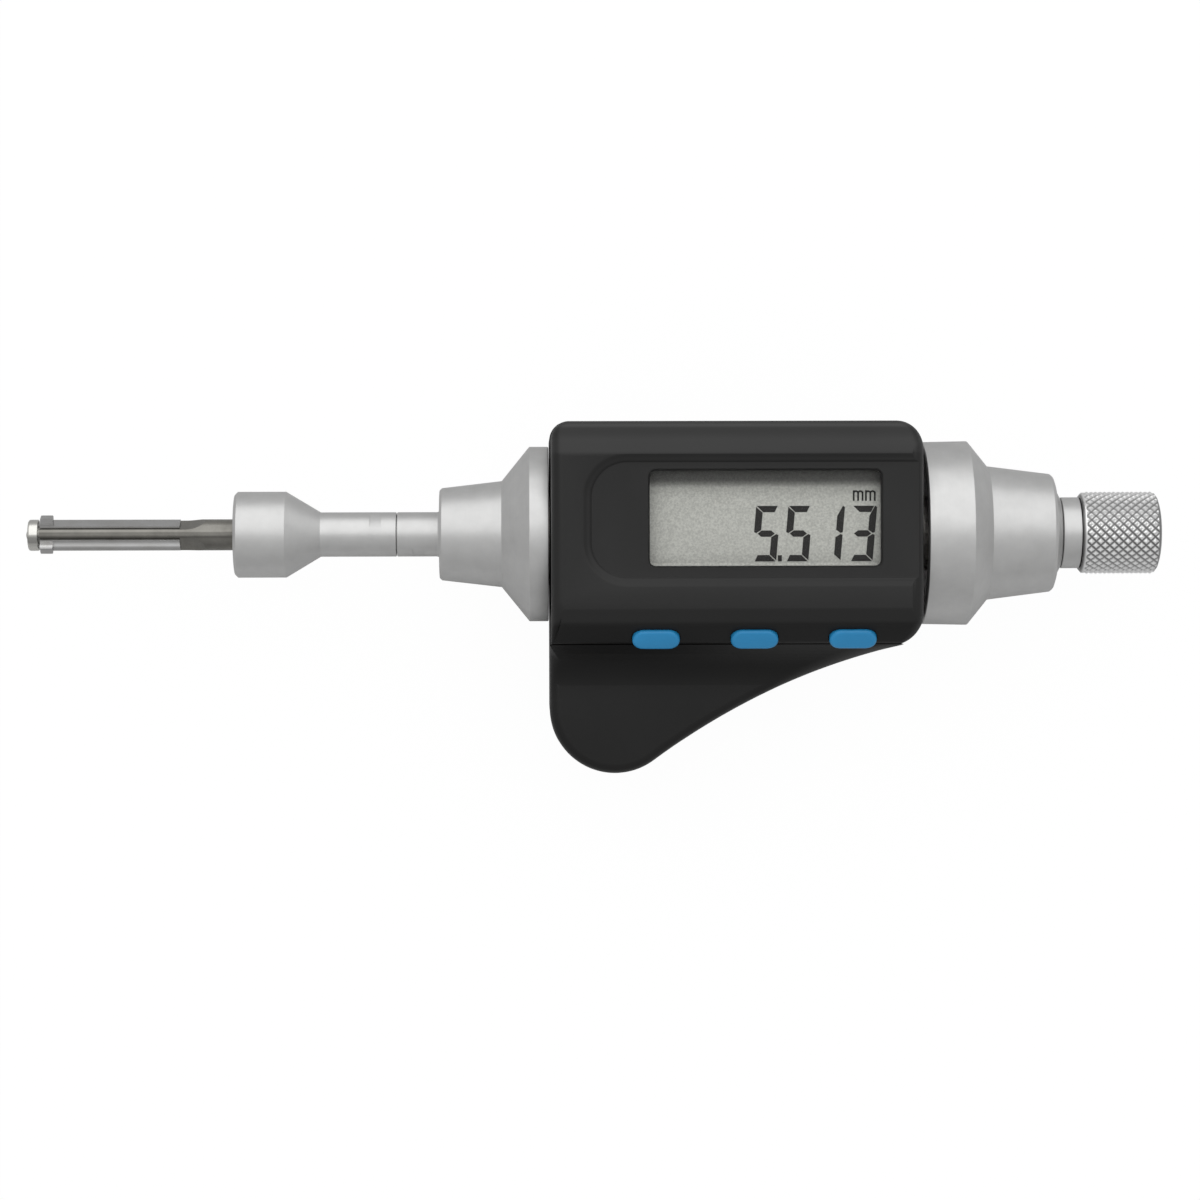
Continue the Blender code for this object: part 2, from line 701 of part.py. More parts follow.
def coupling_neck():
    """Short neck of the handle, with a fillet and the flange that the sleeve traps."""
    straight = NECK_LEFT + NECK_LENGTH - NECK_FILLET
    outline = [(NECK_LEFT - NECK_SPIGOT, TRANSMISSION_BORE_R)]
    outline += [(NECK_LEFT - NECK_SPIGOT, SPRING_CHAMBER_R - FIT)]
    outline += [(NECK_LEFT, SPRING_CHAMBER_R - FIT), (NECK_LEFT, NECK_R - EDGE_BREAK)]
    outline += [(NECK_LEFT + EDGE_BREAK, NECK_R)]
    outline += arc(straight, NECK_R + NECK_FILLET, NECK_FILLET, -90.0, 0.0, 4)
    bore = NECK_R + NECK_FILLET
    outline += [(FLANGE_LEFT, bore), (FLANGE_LEFT, BARREL_R), (FLANGE_RIGHT, BARREL_R)]
    outline += [(FLANGE_RIGHT, TRANSMISSION_BORE_R)]
    neck = turned("coupling_neck", outline, SATIN_CHROME, ROUND)
    across = spanner_flat("handle_flat_a", HANDLE_FLAT_AT, HANDLE_FLAT_TURN)
    behind = spanner_flat("handle_flat_b", HANDLE_FLAT_AT, HANDLE_FLAT_TURN + 180.0)
    return cut(neck, across, behind)


def front_sleeve():
    """Sleeve that steps out from the neck to the housing, and its seal."""
    taper_end = SLEEVE_LEFT + SLEEVE_TAPER_LENGTH
    cone_end = taper_end + SLEEVE_CONE_LENGTH
    outline = [(SLEEVE_LEFT, NECK_R + NECK_FILLET + FIT)]
    outline += arc(SLEEVE_LEFT + SLEEVE_EDGE, SLEEVE_LEFT_R - SLEEVE_EDGE, SLEEVE_EDGE, 180.0, 95.0, 3)
    outline += [(taper_end, SLEEVE_TAPER_R), (cone_end, SLEEVE_R)]
    outline += [(SLEEVE_RIGHT - SLEEVE_END_EDGE, SLEEVE_R)]
    outline += [(SLEEVE_RIGHT, SLEEVE_R - SLEEVE_END_EDGE)]
    groove_left = SLEEVE_RIGHT - SEAL_THICKNESS - FIT
    inner = SEAL_R - SEAL_THICKNESS / 2.0 - FIT
    outer = SEAL_R + SEAL_THICKNESS / 2.0 + FIT
    outline += [(SLEEVE_RIGHT, outer), (groove_left, outer), (groove_left, inner)]
    outline += [(SLEEVE_RIGHT, inner), (SLEEVE_RIGHT, BARREL_R + FIT)]
    pocket = SLEEVE_LEFT + SLEEVE_LIP
    outline += [(pocket, BARREL_R + FIT), (pocket, NECK_R + NECK_FILLET + FIT)]
    turned("front_sleeve", outline, SATIN_CHROME, FINE)
    ring("front_seal_ring", inner + FIT, outer - FIT, groove_left + FIT, SLEEVE_RIGHT,
         RUBBER, ROUND)


def barrel():
    """Tube inside the housing, the bush in it and the rod that goes through to the head."""
    left = FLANGE_RIGHT + FIT
    outline = [(left, TRANSMISSION_BORE_R), (left, BARREL_R), (BARREL_RIGHT, BARREL_R)]
    outline += [(BARREL_RIGHT, BARREL_BORE_R), (BUSH_LEFT - FIT, BARREL_BORE_R)]
    outline += [(BUSH_LEFT - FIT, TRANSMISSION_BORE_R)]
    turned("barrel_tube", outline, GROUND_STEEL, ROUND)
    ring("spindle_bush", SPINDLE_R + FIT, BARREL_BORE_R - FIT, BUSH_LEFT,
         BUSH_LEFT + BUSH_LENGTH, BRASS, SMALL)
    rod("transmission_rod", TRANSMISSION_R, ROD_HEAD_RIGHT + FIT, SPINDLE_LEFT - FIT,
        GROUND_STEEL, TINY)


def spindle():
    """Spindle with its keyway, thread, thimble seat and stud."""
    outline = [(SPINDLE_LEFT, 0.0), (SPINDLE_LEFT, SPINDLE_R - SPINDLE_EDGE)]
    outline += [(SPINDLE_LEFT + SPINDLE_EDGE, SPINDLE_R), (THREAD_LEFT, SPINDLE_R)]
    outline += [(THREAD_LEFT, THREAD_R), (SHOULDER_RIGHT - SHOULDER_LENGTH, THREAD_R)]
    outline += [(SHOULDER_RIGHT - SHOULDER_LENGTH, SHOULDER_R), (SHOULDER_RIGHT, SHOULDER_R)]
    outline += [(SHOULDER_RIGHT, SPINDLE_R), (THIMBLE_RIGHT - FIT, SPINDLE_R)]
    outline += [(THIMBLE_RIGHT - FIT, STUD_R), (RATCHET_LEFT + STUD_LENGTH, STUD_R)]
    outline += [(RATCHET_LEFT + STUD_LENGTH, 0.0)]
    shaft = turned("spindle", outline, GROUND_STEEL, SMALL)
    length = 2.0 * (HUB_LENGTH + 2.0 * TRAVEL + DISC_THICKNESS)
    middle = (ROTOR_LEFT + ROTOR_RIGHT) / 2.0
    depth = 2.0 * CUT_REACH
    keyway = box("keyway", (length, KEY_WIDTH + 2.0 * FIT, depth),
                 (middle, 0.0, SPINDLE_HEIGHT + KEYWAY_FLOOR + depth / 2.0), None, CUTTERS)
    return cut(shaft, keyway)


def encoder():
    """Stator disc on the barrel, and the rotor disc keyed to the spindle."""
    ring("stator_disc", SPINDLE_R + 2.0 * FIT, DISC_R, STATOR_LEFT,
         STATOR_LEFT + DISC_THICKNESS, BOARD_GREEN, ROUND)
    right = ROTOR_LEFT + DISC_THICKNESS
    bore = SPINDLE_R + 2.0 * FIT
    outline = [(ROTOR_LEFT, bore), (ROTOR_LEFT, DISC_R), (right, DISC_R), (right, HUB_R)]
    outline += [(ROTOR_RIGHT, HUB_R), (ROTOR_RIGHT, bore)]
    rotor = turned("rotor_disc", outline, BRASS, ROUND)
    low = KEYWAY_FLOOR + FIT
    high = (bore + HUB_R) / 2.0
    key = box("key", (ROTOR_RIGHT - ROTOR_LEFT - 0.4, KEY_WIDTH, high - low),
              ((ROTOR_LEFT + ROTOR_RIGHT) / 2.0, 0.0, SPINDLE_HEIGHT + (low + high) / 2.0),
              None, CUTTERS)
    return add(rotor, key)


def nut_and_sleeve():
    """Inner sleeve fixed in the housing's wall, with the nut that the thread runs in."""
    flange_right = NUT_FLANGE_LEFT + NUT_FLANGE_LENGTH
    left = NUT_SLEEVE_LEFT
    right = NUT_SLEEVE_RIGHT
    pocket = NUT_LEFT - FIT
    outline = [(left, BARREL_BORE_R), (left, BARREL_R), (NUT_FLANGE_LEFT, BARREL_R)]
    outline += [(NUT_FLANGE_LEFT, NUT_FLANGE_R), (flange_right, NUT_FLANGE_R)]
    outline += [(flange_right, BARREL_R), (right, BARREL_R), (right, NUT_R + FIT)]
    outline += [(pocket, NUT_R + FIT), (pocket, BARREL_BORE_R)]
    turned("nut_sleeve", outline, GROUND_STEEL, ROUND)
    ring("spindle_nut", THREAD_R + FIT, NUT_R, NUT_LEFT, NUT_LEFT + NUT_LENGTH, BRASS, SMALL)


def thimble():
    """Turned thimble with a wide rim, hollow inside, and the ring that guides it."""
    cylinder = RIM_LEFT + THIMBLE_CYLINDER
    cone = cylinder + THIMBLE_CONE_LENGTH
    inner_r = THIMBLE_END_R - THIMBLE_WALL
    outline = [(RIM_LEFT, RIM_R - THIMBLE_WALL), (RIM_LEFT, RIM_R - RIM_EDGE)]
    outline += [(RIM_LEFT + RIM_EDGE, RIM_R), (cylinder, THIMBLE_R), (cone, THIMBLE_CONE_R)]
    drop = THIMBLE_END_R - THIMBLE_HUB_R
    for x, radius in arc(0.0, 0.0, 1.0, 90.0, 0.0, 5):
        outline += [(TAPER_RIGHT + THIMBLE_DOME * x, THIMBLE_HUB_R + drop * radius)]
    outline += [(THIMBLE_RIGHT, SPINDLE_R + FIT)]
    floor = THIMBLE_RIGHT - THIMBLE_END_WALL
    outline += [(floor, SPINDLE_R + FIT), (floor, inner_r), (cylinder, inner_r + FIT)]
    outline += [(cylinder - THIMBLE_CONE_LENGTH, RIM_R - THIMBLE_WALL)]
    turned("thimble", outline, SATIN_CHROME, FINE)
    left = cylinder + GUIDE_RING_GAP
    ring("thimble_guide_ring", BARREL_R + FIT, inner_r - FIT, left, left + GUIDE_RING_LENGTH,
         WHITE_PLASTIC, ROUND)


def ratchet_shaft():
    """Neck that clamps the thimble, and the shaft that the knob turns on."""
    step = RATCHET_LEFT + RATCHET_NECK_CONE_LENGTH
    neck_right = RATCHET_LEFT + RATCHET_NECK_LENGTH
    hole_left = SHAFT_RIGHT - RATCHET_SCREW_LENGTH
    stud_right = RATCHET_LEFT + STUD_LENGTH + FIT
    outline = [(RATCHET_LEFT, STUD_R + FIT)]
    outline += [(RATCHET_LEFT, RATCHET_NECK_R - RATCHET_NECK_CONE), (step, RATCHET_NECK_R)]
    outline += [(neck_right, RATCHET_NECK_R)]
    outline += [(neck_right, RATCHET_SHAFT_R), (SHAFT_RIGHT, RATCHET_SHAFT_R)]
    outline += [(SHAFT_RIGHT, RATCHET_SCREW_R + FIT), (hole_left, RATCHET_SCREW_R + FIT)]
    outline += [(hole_left, RATCHET_PILOT_R), (stud_right, RATCHET_PILOT_R)]
    outline += [(stud_right, STUD_R + FIT)]
    turned("ratchet_shaft", outline, SATIN_CHROME, SMALL)
    head_left = KNOB_RECESS_LEFT + FIT
    head_right = KNOB_RIGHT - SCREW_HEAD_SUNK
    head_r = KNOB_RECESS_R - 2.0 * FIT
    screw = [(hole_left + FIT, 0.0), (hole_left + FIT, RATCHET_SCREW_R)]
    screw += [(head_left, RATCHET_SCREW_R), (head_left, head_r)]
    screw += [(head_right - SCREW_HEAD_EDGE, head_r), (head_right, head_r - SCREW_HEAD_EDGE)]
    screw += [(head_right, 0.0)]
    made = turned("ratchet_screw", screw, GROUND_STEEL, SMALL)
    slot = box("ratchet_slot", (2.0 * SCREW_SLOT, 3.0 * head_r, SCREW_SLOT),
               (head_right, 0.0, SPINDLE_HEIGHT), None, CUTTERS)
    return cut(made, slot)


def ratchet_inside():
    """Toothed clutch plate and the spring behind it."""
    left = KNOB_LEFT + CLUTCH_TOOTH
    right = left + CLUTCH_LENGTH
    outer = KNOB_CHAMBER_R - FIT
    plate = ring("ratchet_clutch", KNOB_BORE_R, outer, left, right, GROUND_STEEL, SMALL)
    for number in range(CLUTCH_TEETH):
        angle = 360.0 * number / CLUTCH_TEETH
        low = KNOB_BORE_R + CLUTCH_TOOTH_INSET
        high = outer - CLUTCH_TOOTH_INSET
        root = left + CLUTCH_TOOTH_INSET
        end = left - CLUTCH_TOOTH * 0.6
        shape = [(root, low), (root, high), (end, high), (end, low)]
        tooth = side_profile(f"tooth_{number}", shape, CLUTCH_TOOTH_WIDTH, None, CUTTERS)
        add(plate, around_axis(tooth, angle))
    end = KNOB_LEFT + KNOB_CHAMBER_LENGTH - FIT
    mean = (RATCHET_SHAFT_R + KNOB_CHAMBER_R) / 2.0
    coil("ratchet_spring", right + FIT, end, mean, RATCHET_SPRING_WIRE,
         RATCHET_SPRING_TURNS, SPRING_STEEL)


def knurl_radius(column, row):
    """Peak or valley of the diamond knurl."""
    if (column + row) % 2:
        return KNOB_R - KNURL_DEPTH
    return KNOB_R


def ratchet_knob():
    """Knob with a diamond knurl, bored for the shaft, spring and screw."""
    columns = 2 * KNURL_COUNT
    start = KNOB_LEFT + KNOB_CHAMFER
    rows = round((KNOB_LENGTH - 2.0 * KNOB_CHAMFER) / (KNURL_PITCH / 2.0))
    step = (KNOB_LENGTH - 2.0 * KNOB_CHAMFER) / rows
    edge_r = KNOB_R - KNURL_DEPTH - KNOB_CHAMFER / 2.0
    chamber = KNOB_LEFT + KNOB_CHAMBER_LENGTH
    plain = [(KNOB_RIGHT, edge_r), (KNOB_RIGHT, KNOB_RECESS_R)]
    plain += [(KNOB_RECESS_LEFT, KNOB_RECESS_R), (KNOB_RECESS_LEFT, KNOB_BORE_R)]
    plain += [(chamber, KNOB_BORE_R), (chamber, KNOB_CHAMBER_R)]
    plain += [(KNOB_LEFT, KNOB_CHAMBER_R), (KNOB_LEFT, edge_r)]
    shape = bmesh.new()
    rings = []
    for row in range(rows + 1):
        x = start + row * step
        rings.append([(x, knurl_radius(column, row)) for column in range(columns)])
    rings += [[point] * columns for point in plain]
    verts = []
    for points in rings:
        circle = []
        for column, (x, radius) in enumerate(points):
            turn = 2.0 * math.pi * column / columns
            place = (x * MM, radius * math.cos(turn) * MM, radius * math.sin(turn) * MM)
            circle.append(shape.verts.new(place))
        verts.append(circle)
    for row, circle in enumerate(verts):
        other = verts[(row + 1) % len(verts)]
        for column in range(columns):
            after = (column + 1) % columns
            corners = [circle[column], circle[after], other[after], other[column]]
            if row >= rows:
                shape.faces.new(corners)
            elif (column + row) % 2:
                shape.faces.new([corners[0], corners[1], corners[2]])
                shape.faces.new([corners[0], corners[2], corners[3]])
            else:
                shape.faces.new([corners[0], corners[1], corners[3]])
                shape.faces.new([corners[1], corners[2], corners[3]])
    bmesh.ops.recalc_face_normals(shape, faces=shape.faces)
    mesh = bpy.data.meshes.new("ratchet_knob")
    shape.to_mesh(mesh)
    shape.free()
    knob = link("ratchet_knob", mesh, PARTS, SATIN_CHROME)
    knob.location = (0.0, 0.0, SPINDLE_HEIGHT * MM)
    return knob


def body_outline(inset=0.0):
    """Outline of the housing: block, lobe and the sweep between them, moved in evenly."""
    left = BODY_LEFT + inset
    right = BODY_RIGHT - inset
    top = BODY_TOP - inset
    lobe = (BODY_LEFT + LOBE_R, LOBE_BOTTOM + LOBE_R)
    corner = (BODY_RIGHT - CORNER_R, -CORNER_UP)
    reach_a = SWEEP_R + LOBE_R
    reach_b = SWEEP_R + CORNER_R
    across = corner[0] - lobe[0]
    up = corner[1] - lobe[1]
    span = math.hypot(across, up)
    along = (reach_a ** 2 - reach_b ** 2 + span ** 2) / (2.0 * span)
    off = math.sqrt(reach_a ** 2 - along ** 2)
    sweep_x = lobe[0] + (along * across + off * up) / span
    sweep_y = lobe[1] + (along * up - off * across) / span
    to_lobe = math.degrees(math.atan2(lobe[1] - sweep_y, lobe[0] - sweep_x))
    to_corner = math.degrees(math.atan2(corner[1] - sweep_y, corner[0] - sweep_x))
    points = arc(right - TOP_RIGHT_R + inset, top - TOP_RIGHT_R + inset,
                 TOP_RIGHT_R - inset, 0.0, 90.0, 5)
    points += arc(left + TOP_LEFT_R - inset, top - TOP_LEFT_R + inset,
                  TOP_LEFT_R - inset, 90.0, 180.0, 5)
    points += arc(lobe[0], lobe[1], LOBE_R - inset, 180.0, to_lobe + 180.0, 18)
    points += arc(sweep_x, sweep_y, SWEEP_R + inset, to_lobe, to_corner, 11)[1:-1]
    points += arc(corner[0], corner[1], CORNER_R - inset, to_corner - 180.0, 0.0, 5)
    return points


def above(points, low):
    """The part of an outline above a height, with a straight lower edge."""
    kept = []
    for (x, y), (next_x, next_y) in zip(points, points[1:] + points[:1]):
        if y >= low:
            kept.append((x, y))
        if (y >= low) != (next_y >= low):
            share = (low - y) / (next_y - y)
            kept.append((x + share * (next_x - x), low))
    return kept


def turned_cut(name, radius, left, right):
    """A round cutter on the spindle's axis."""
    return rod(name, radius, left, right, None, ROUND, CUTTERS)


def pillar(name, radius, x, y, low, high, look=None, group=CUTTERS, steps=TINY):
    """An upright round bar."""
    made = rod(name, radius, low, high, look, steps, group)
    return upright(made, x, y)


def housing_cuts(piece, side):
    """Holes through both shells for the barrel, the inner sleeve and the thimble's rim."""
    hole = BARREL_R + BARREL_HOLE_PLAY
    pocket = BODY_RIGHT - RIM_POCKET
    left = turned_cut(f"left_hole_{side}", hole, BODY_LEFT - 1.0, BODY_LEFT + WALL + 1.0)
    outline = [(pocket - WALL - 1.0, 0.0), (pocket - WALL - 1.0, hole), (pocket, hole)]
    outline += [(pocket, RIM_POCKET_R), (BODY_RIGHT + 1.0, RIM_POCKET_R), (BODY_RIGHT + 1.0, 0.0)]
    right = turned(f"rim_pocket_{side}", outline, None, ROUND, CUTTERS)
    return cut(piece, left, right)


def cavity_right():
    """Inner face of the housing's right wall."""
    return BODY_RIGHT - RIM_POCKET - WALL


def inside(low, bottom=-100.0):
    """Outline of the hollow in the shells."""
    points = above(body_outline(WALL), low)
    limit = cavity_right()
    return [(min(x, limit), y) for x, y in points if y >= bottom]


def rear_housing():
    """Rear shell with the lobe, the battery pocket and the screw bosses."""
    shell = flat("rear_housing", body_outline(), 0.0, PARTING, DARK_PLASTIC)
    bevel(shell, BODY_EDGE, 2)
    deep = above(inside(CAVITY_BOTTOM), DEEP_BOTTOM)
    cut(shell, flat("main_hollow", inside(CAVITY_BOTTOM), BATTERY_FLOOR, PARTING + 1.0,
                    None, CUTTERS))
    cut(shell, flat("deep_hollow", deep, BACK_WALL, BATTERY_FLOOR + 1.0, None, CUTTERS))
    lobe = [(x, min(y, CAVITY_BOTTOM + 0.5)) for x, y in body_outline(WALL)]
    lobe = [point for point in lobe if point[1] < CAVITY_BOTTOM]
    lobe += [(min(lobe[-1][0], cavity_right()), CAVITY_BOTTOM + 1.0)]
    lobe += [(BODY_LEFT + WALL, CAVITY_BOTTOM + 1.0)]
    cut(shell, flat("lobe_hollow", lobe, BATTERY_FLOOR, PARTING - LOBE_WALL, None, CUTTERS))
    for number, (x, y) in enumerate(SCREW_SPOTS):
        add(shell, pillar(f"rear_boss_{number}", BOSS_R, x, y, BACK_WALL / 2.0, PARTING))
    housing_cuts(shell, "rear")
    pocket = CELL_BOTTOM
    groove_low = CAP_INSET + CAP_THICKNESS - LUG_THICKNESS - 0.2
    outline = [(-1.0, 0.0), (-1.0, CAP_R + FIT), (groove_low, CAP_R + FIT)]
    groove_r = CAP_R + LUG_REACH + LUG_PLAY
    outline += [(groove_low, groove_r), (pocket, groove_r)]
    outline += [(pocket, CELL_R + CELL_PLAY), (CELL_TOP + CELL_HEADROOM, CELL_R + CELL_PLAY)]
    outline += [(CELL_TOP + CELL_HEADROOM, 0.0)]
    battery_room = turned("battery_room", outline, None, ROUND, CUTTERS)
    cut(shell, upright(battery_room, CELL_X, CELL_Y))
    for number, angle in enumerate(LUG_ANGLES):
        notch_top = groove_low + 0.2
        notch = box(f"lug_entry_{number}", (2.0 * (LUG_REACH + FIT), LUG_WIDTH + 0.6, notch_top + 1.0),
                    (0.0, 0.0, 0.0), None, CUTTERS)
        turn = math.radians(angle + CAP_TURN)
        notch.rotation_euler = (0.0, 0.0, turn)
        notch.location = ((CELL_X + CAP_R * math.cos(turn)) * MM,
                          (CELL_Y + CAP_R * math.sin(turn)) * MM, (notch_top - 1.0) / 2.0 * MM)
        cut(shell, notch)
    cut(shell, box("contact_recess", (3.0, 2.0, CELL_THICKNESS),
                   (CELL_X, CELL_Y + CELL_R + CELL_PLAY, (pocket + CELL_TOP + CELL_HEADROOM) / 2.0),
                   None, CUTTERS))
    cut(shell, gasket_ring("gasket_groove", FIT, PARTING - GASKET_THICKNESS - FIT,
                           PARTING + 1.0, None, CUTTERS))
    hole_r = HOUSING_SCREW_R + FIT
    head_r = HOUSING_SCREW_HEAD_R + FIT
    step = SCREW_HEAD_INSET + HOUSING_SCREW_HEAD + FIT
    outline = [(-1.0, 0.0), (-1.0, head_r), (step, head_r), (step, hole_r)]
    outline += [(PARTING + 1.0, hole_r), (PARTING + 1.0, 0.0)]
    for number, (x, y) in enumerate(SCREW_SPOTS):
        hole = turned(f"rear_screw_hole_{number}", outline, None, SMALL, CUTTERS)
        cut(shell, upright(hole, x, y))
    return shell


def gasket_ring(name, play, low, high, look, group):
    """The gasket's closed run round the upper block."""
    outer = above(body_outline(GASKET_INSET - play), COVER_BOTTOM + GASKET_INSET - play)
    edge = GASKET_INSET + GASKET_WIDTH + play
    inner = above(body_outline(edge), COVER_BOTTOM + edge)
    band = flat(name, outer, low, high, look, group)
    hole = flat(name + "_inside", inner, low - 1.0, high + 1.0, None, CUTTERS)
    return cut(band, hole)


def loft(name, low_outline, high_outline, low, high):
    """A cutter between two outlines with as many points, one above the other."""
    shape = bmesh.new()
    bottom = [shape.verts.new((x * MM, y * MM, low * MM)) for x, y in low_outline]
    top = [shape.verts.new((x * MM, y * MM, high * MM)) for x, y in high_outline]
    shape.faces.new(bottom)
    shape.faces.new(top)
    for i in range(len(bottom)):
        after = (i + 1) % len(bottom)
        shape.faces.new([bottom[i], bottom[after], top[after], top[i]])
    bmesh.ops.recalc_face_normals(shape, faces=shape.faces)
    mesh = bpy.data.meshes.new(name)
    shape.to_mesh(mesh)
    shape.free()
    return link(name, mesh, CUTTERS)


def recess_outline(grow):
    """The panel's outline: round at the left, open at the right edge."""
    right = BODY_RIGHT + 2.0
    left = RECESS_LEFT + RECESS_R
    radius = RECESS_R + grow
    points = [(right, RECESS_TOP + grow)]
    points += arc(left, RECESS_TOP - RECESS_R, radius, 90.0, 180.0, 8)
    points += arc(left, RECESS_BOTTOM + RECESS_R, radius, 180.0, 270.0, 8)
    points += [(right, RECESS_BOTTOM - grow)]
    return points


def on_shelf(piece, x, drop, depth):
    """A piece placed on the sloped shelf, its own Z pointing out of it."""
    y = SHELF_Y - drop + depth * math.sin(SHELF_ANGLE)
    z = SHELF_Z - drop - depth * math.cos(SHELF_ANGLE)
    piece.rotation_euler = (SHELF_ANGLE, 0.0, 0.0)
    piece.location = (x * MM, y * MM, z * MM)
    return piece


def front_cover():
    """Front shell: crowned top, panel recess, window and the shelf with the buttons."""
    top = BODY_TOP - COVER_STEP
    bottom = COVER_BOTTOM
    span = math.degrees(math.asin((top - CROWN_START) / CROWN_R))
    low = PARTING + FIT
    outline = [(bottom, low), (bottom, SHELF_Z - SHELF_Y + bottom), (SHELF_Y, SHELF_Z)]
    outline += [(SHELF_TOP, BODY_FRONT)]
    outline += arc(CROWN_START, BODY_FRONT - CROWN_R, CROWN_R, 90.0, 90.0 - span, 4)
    outline += [(top, low)]
    length = BODY_RIGHT - BODY_LEFT + 4.0
    shell = flat("front_cover", outline, -length / 2.0, length / 2.0, DARK_PLASTIC)
    shell.rotation_euler = (math.pi / 2.0, 0.0, math.pi / 2.0)
    plan = flat("cover_plan", above(body_outline(COVER_STEP), bottom), low - 1.0,
                BODY_FRONT + 1.0, None, CUTTERS)
    boolean(shell, plan, "INTERSECT")
    bevel(shell, COVER_EDGE, 3, 32.0)
    recess = loft("panel_recess", recess_outline(0.0),
                  recess_outline(RECESS_SLOPE * 2.0), RECESS_FLOOR, RECESS_FLOOR + 2.0 * RECESS_DEPTH)
    hollow = above(inside(CAVITY_BOTTOM), SHELF_BLOCK_TOP)
    hollow = flat("cover_hollow", hollow, PARTING - 1.0, FRONT_INSIDE, None, CUTTERS)
    window = flat("window_opening", rounded_rectangle(WINDOW_X, WINDOW_Y, WINDOW_WIDTH,
                                                      WINDOW_HEIGHT, WINDOW_R),
                  FRONT_INSIDE - 1.0, BODY_FRONT + 1.0, None, CUTTERS)
    cut(shell, recess, hollow, window)
    hollow_depth = BUTTON_DEPTH + BUTTON_TRAVEL + NUB_LENGTH + MAT_THICKNESS + MAT_ROOM
    room = box("shelf_hollow", (2.0 * BUTTON_SPACING + BUTTON_LENGTH + 3.0, MAT_HEIGHT + 0.4,
                                hollow_depth - SHELF_WALL), (0.0, 0.0, 0.0), None, CUTTERS)
    on_shelf(room, BUTTON_MIDDLE, BUTTON_DROP, (SHELF_WALL + hollow_depth) / 2.0)
    cut(shell, room)
    for number in range(len(BUTTON_NAMES)):
        hole = flat(f"button_hole_{number}", rounded_rectangle(
            0.0, 0.0, BUTTON_LENGTH + 2.0 * FIT, BUTTON_HEIGHT + 2.0 * FIT,
            BUTTON_HEIGHT / 2.0 + FIT - PILL_EDGE, 4), -SHELF_WALL - 2.2, 2.0, None, CUTTERS)
        cut(shell, on_shelf(hole, button_x(number), BUTTON_DROP, 0.0))
    for number, (x, y) in enumerate(SCREW_SPOTS):
        if y > SHELF_BLOCK_TOP:
            add(shell, pillar(f"front_boss_{number}", BOSS_R, x, y, low, FRONT_INSIDE + 0.5))
        cut(shell, pillar(f"front_screw_hole_{number}", HOUSING_SCREW_R + FIT, x, y,
                          PARTING - 1.0, HOUSING_SCREW_TIP + 0.3, steps=SMALL))
    return housing_cuts(shell, "front")


def button_x(number):
    """Where a button is along the shelf."""
    return BUTTON_MIDDLE + (number - 1) * BUTTON_SPACING


def buttons():
    """Three pill buttons with ears that keep them in, over one rubber mat."""
    for number, name in enumerate(BUTTON_NAMES):
        pill = rounded_rectangle(0.0, 0.0, BUTTON_LENGTH, BUTTON_HEIGHT,
                                 BUTTON_HEIGHT / 2.0 - PILL_EDGE, 4)
        button = flat(name, pill, -BUTTON_DEPTH, BUTTON_PROUD, BLUE_PLASTIC)
        bevel(button, BUTTON_CROWN, 2, 60.0)
        ears = box(f"ears_{number}", (BUTTON_LENGTH + 2.0 * EAR_LENGTH, EAR_HEIGHT, EAR_THICKNESS),
                   (0.0, 0.0, 0.0), None, CUTTERS)
        nub = rod(f"nub_{number}", NUB_R, -BUTTON_DEPTH - NUB_LENGTH, -BUTTON_DEPTH + 2.0 * FIT, None,
                  TINY, CUTTERS)
        on_shelf(button, button_x(number), BUTTON_DROP, 0.0)
        on_shelf(ears, button_x(number), BUTTON_DROP, BUTTON_DEPTH - EAR_THICKNESS / 2.0)
        on_shelf(nub, button_x(number), BUTTON_DROP, 0.0)
        add(button, ears, nub)
    depth = BUTTON_DEPTH + BUTTON_TRAVEL + NUB_LENGTH + FIT + MAT_THICKNESS / 2.0
    mat = box("button_mat", (2.0 * BUTTON_SPACING + BUTTON_LENGTH, MAT_HEIGHT, MAT_THICKNESS),
              (0.0, 0.0, 0.0), RUBBER)
    on_shelf(mat, BUTTON_MIDDLE, BUTTON_DROP, depth)


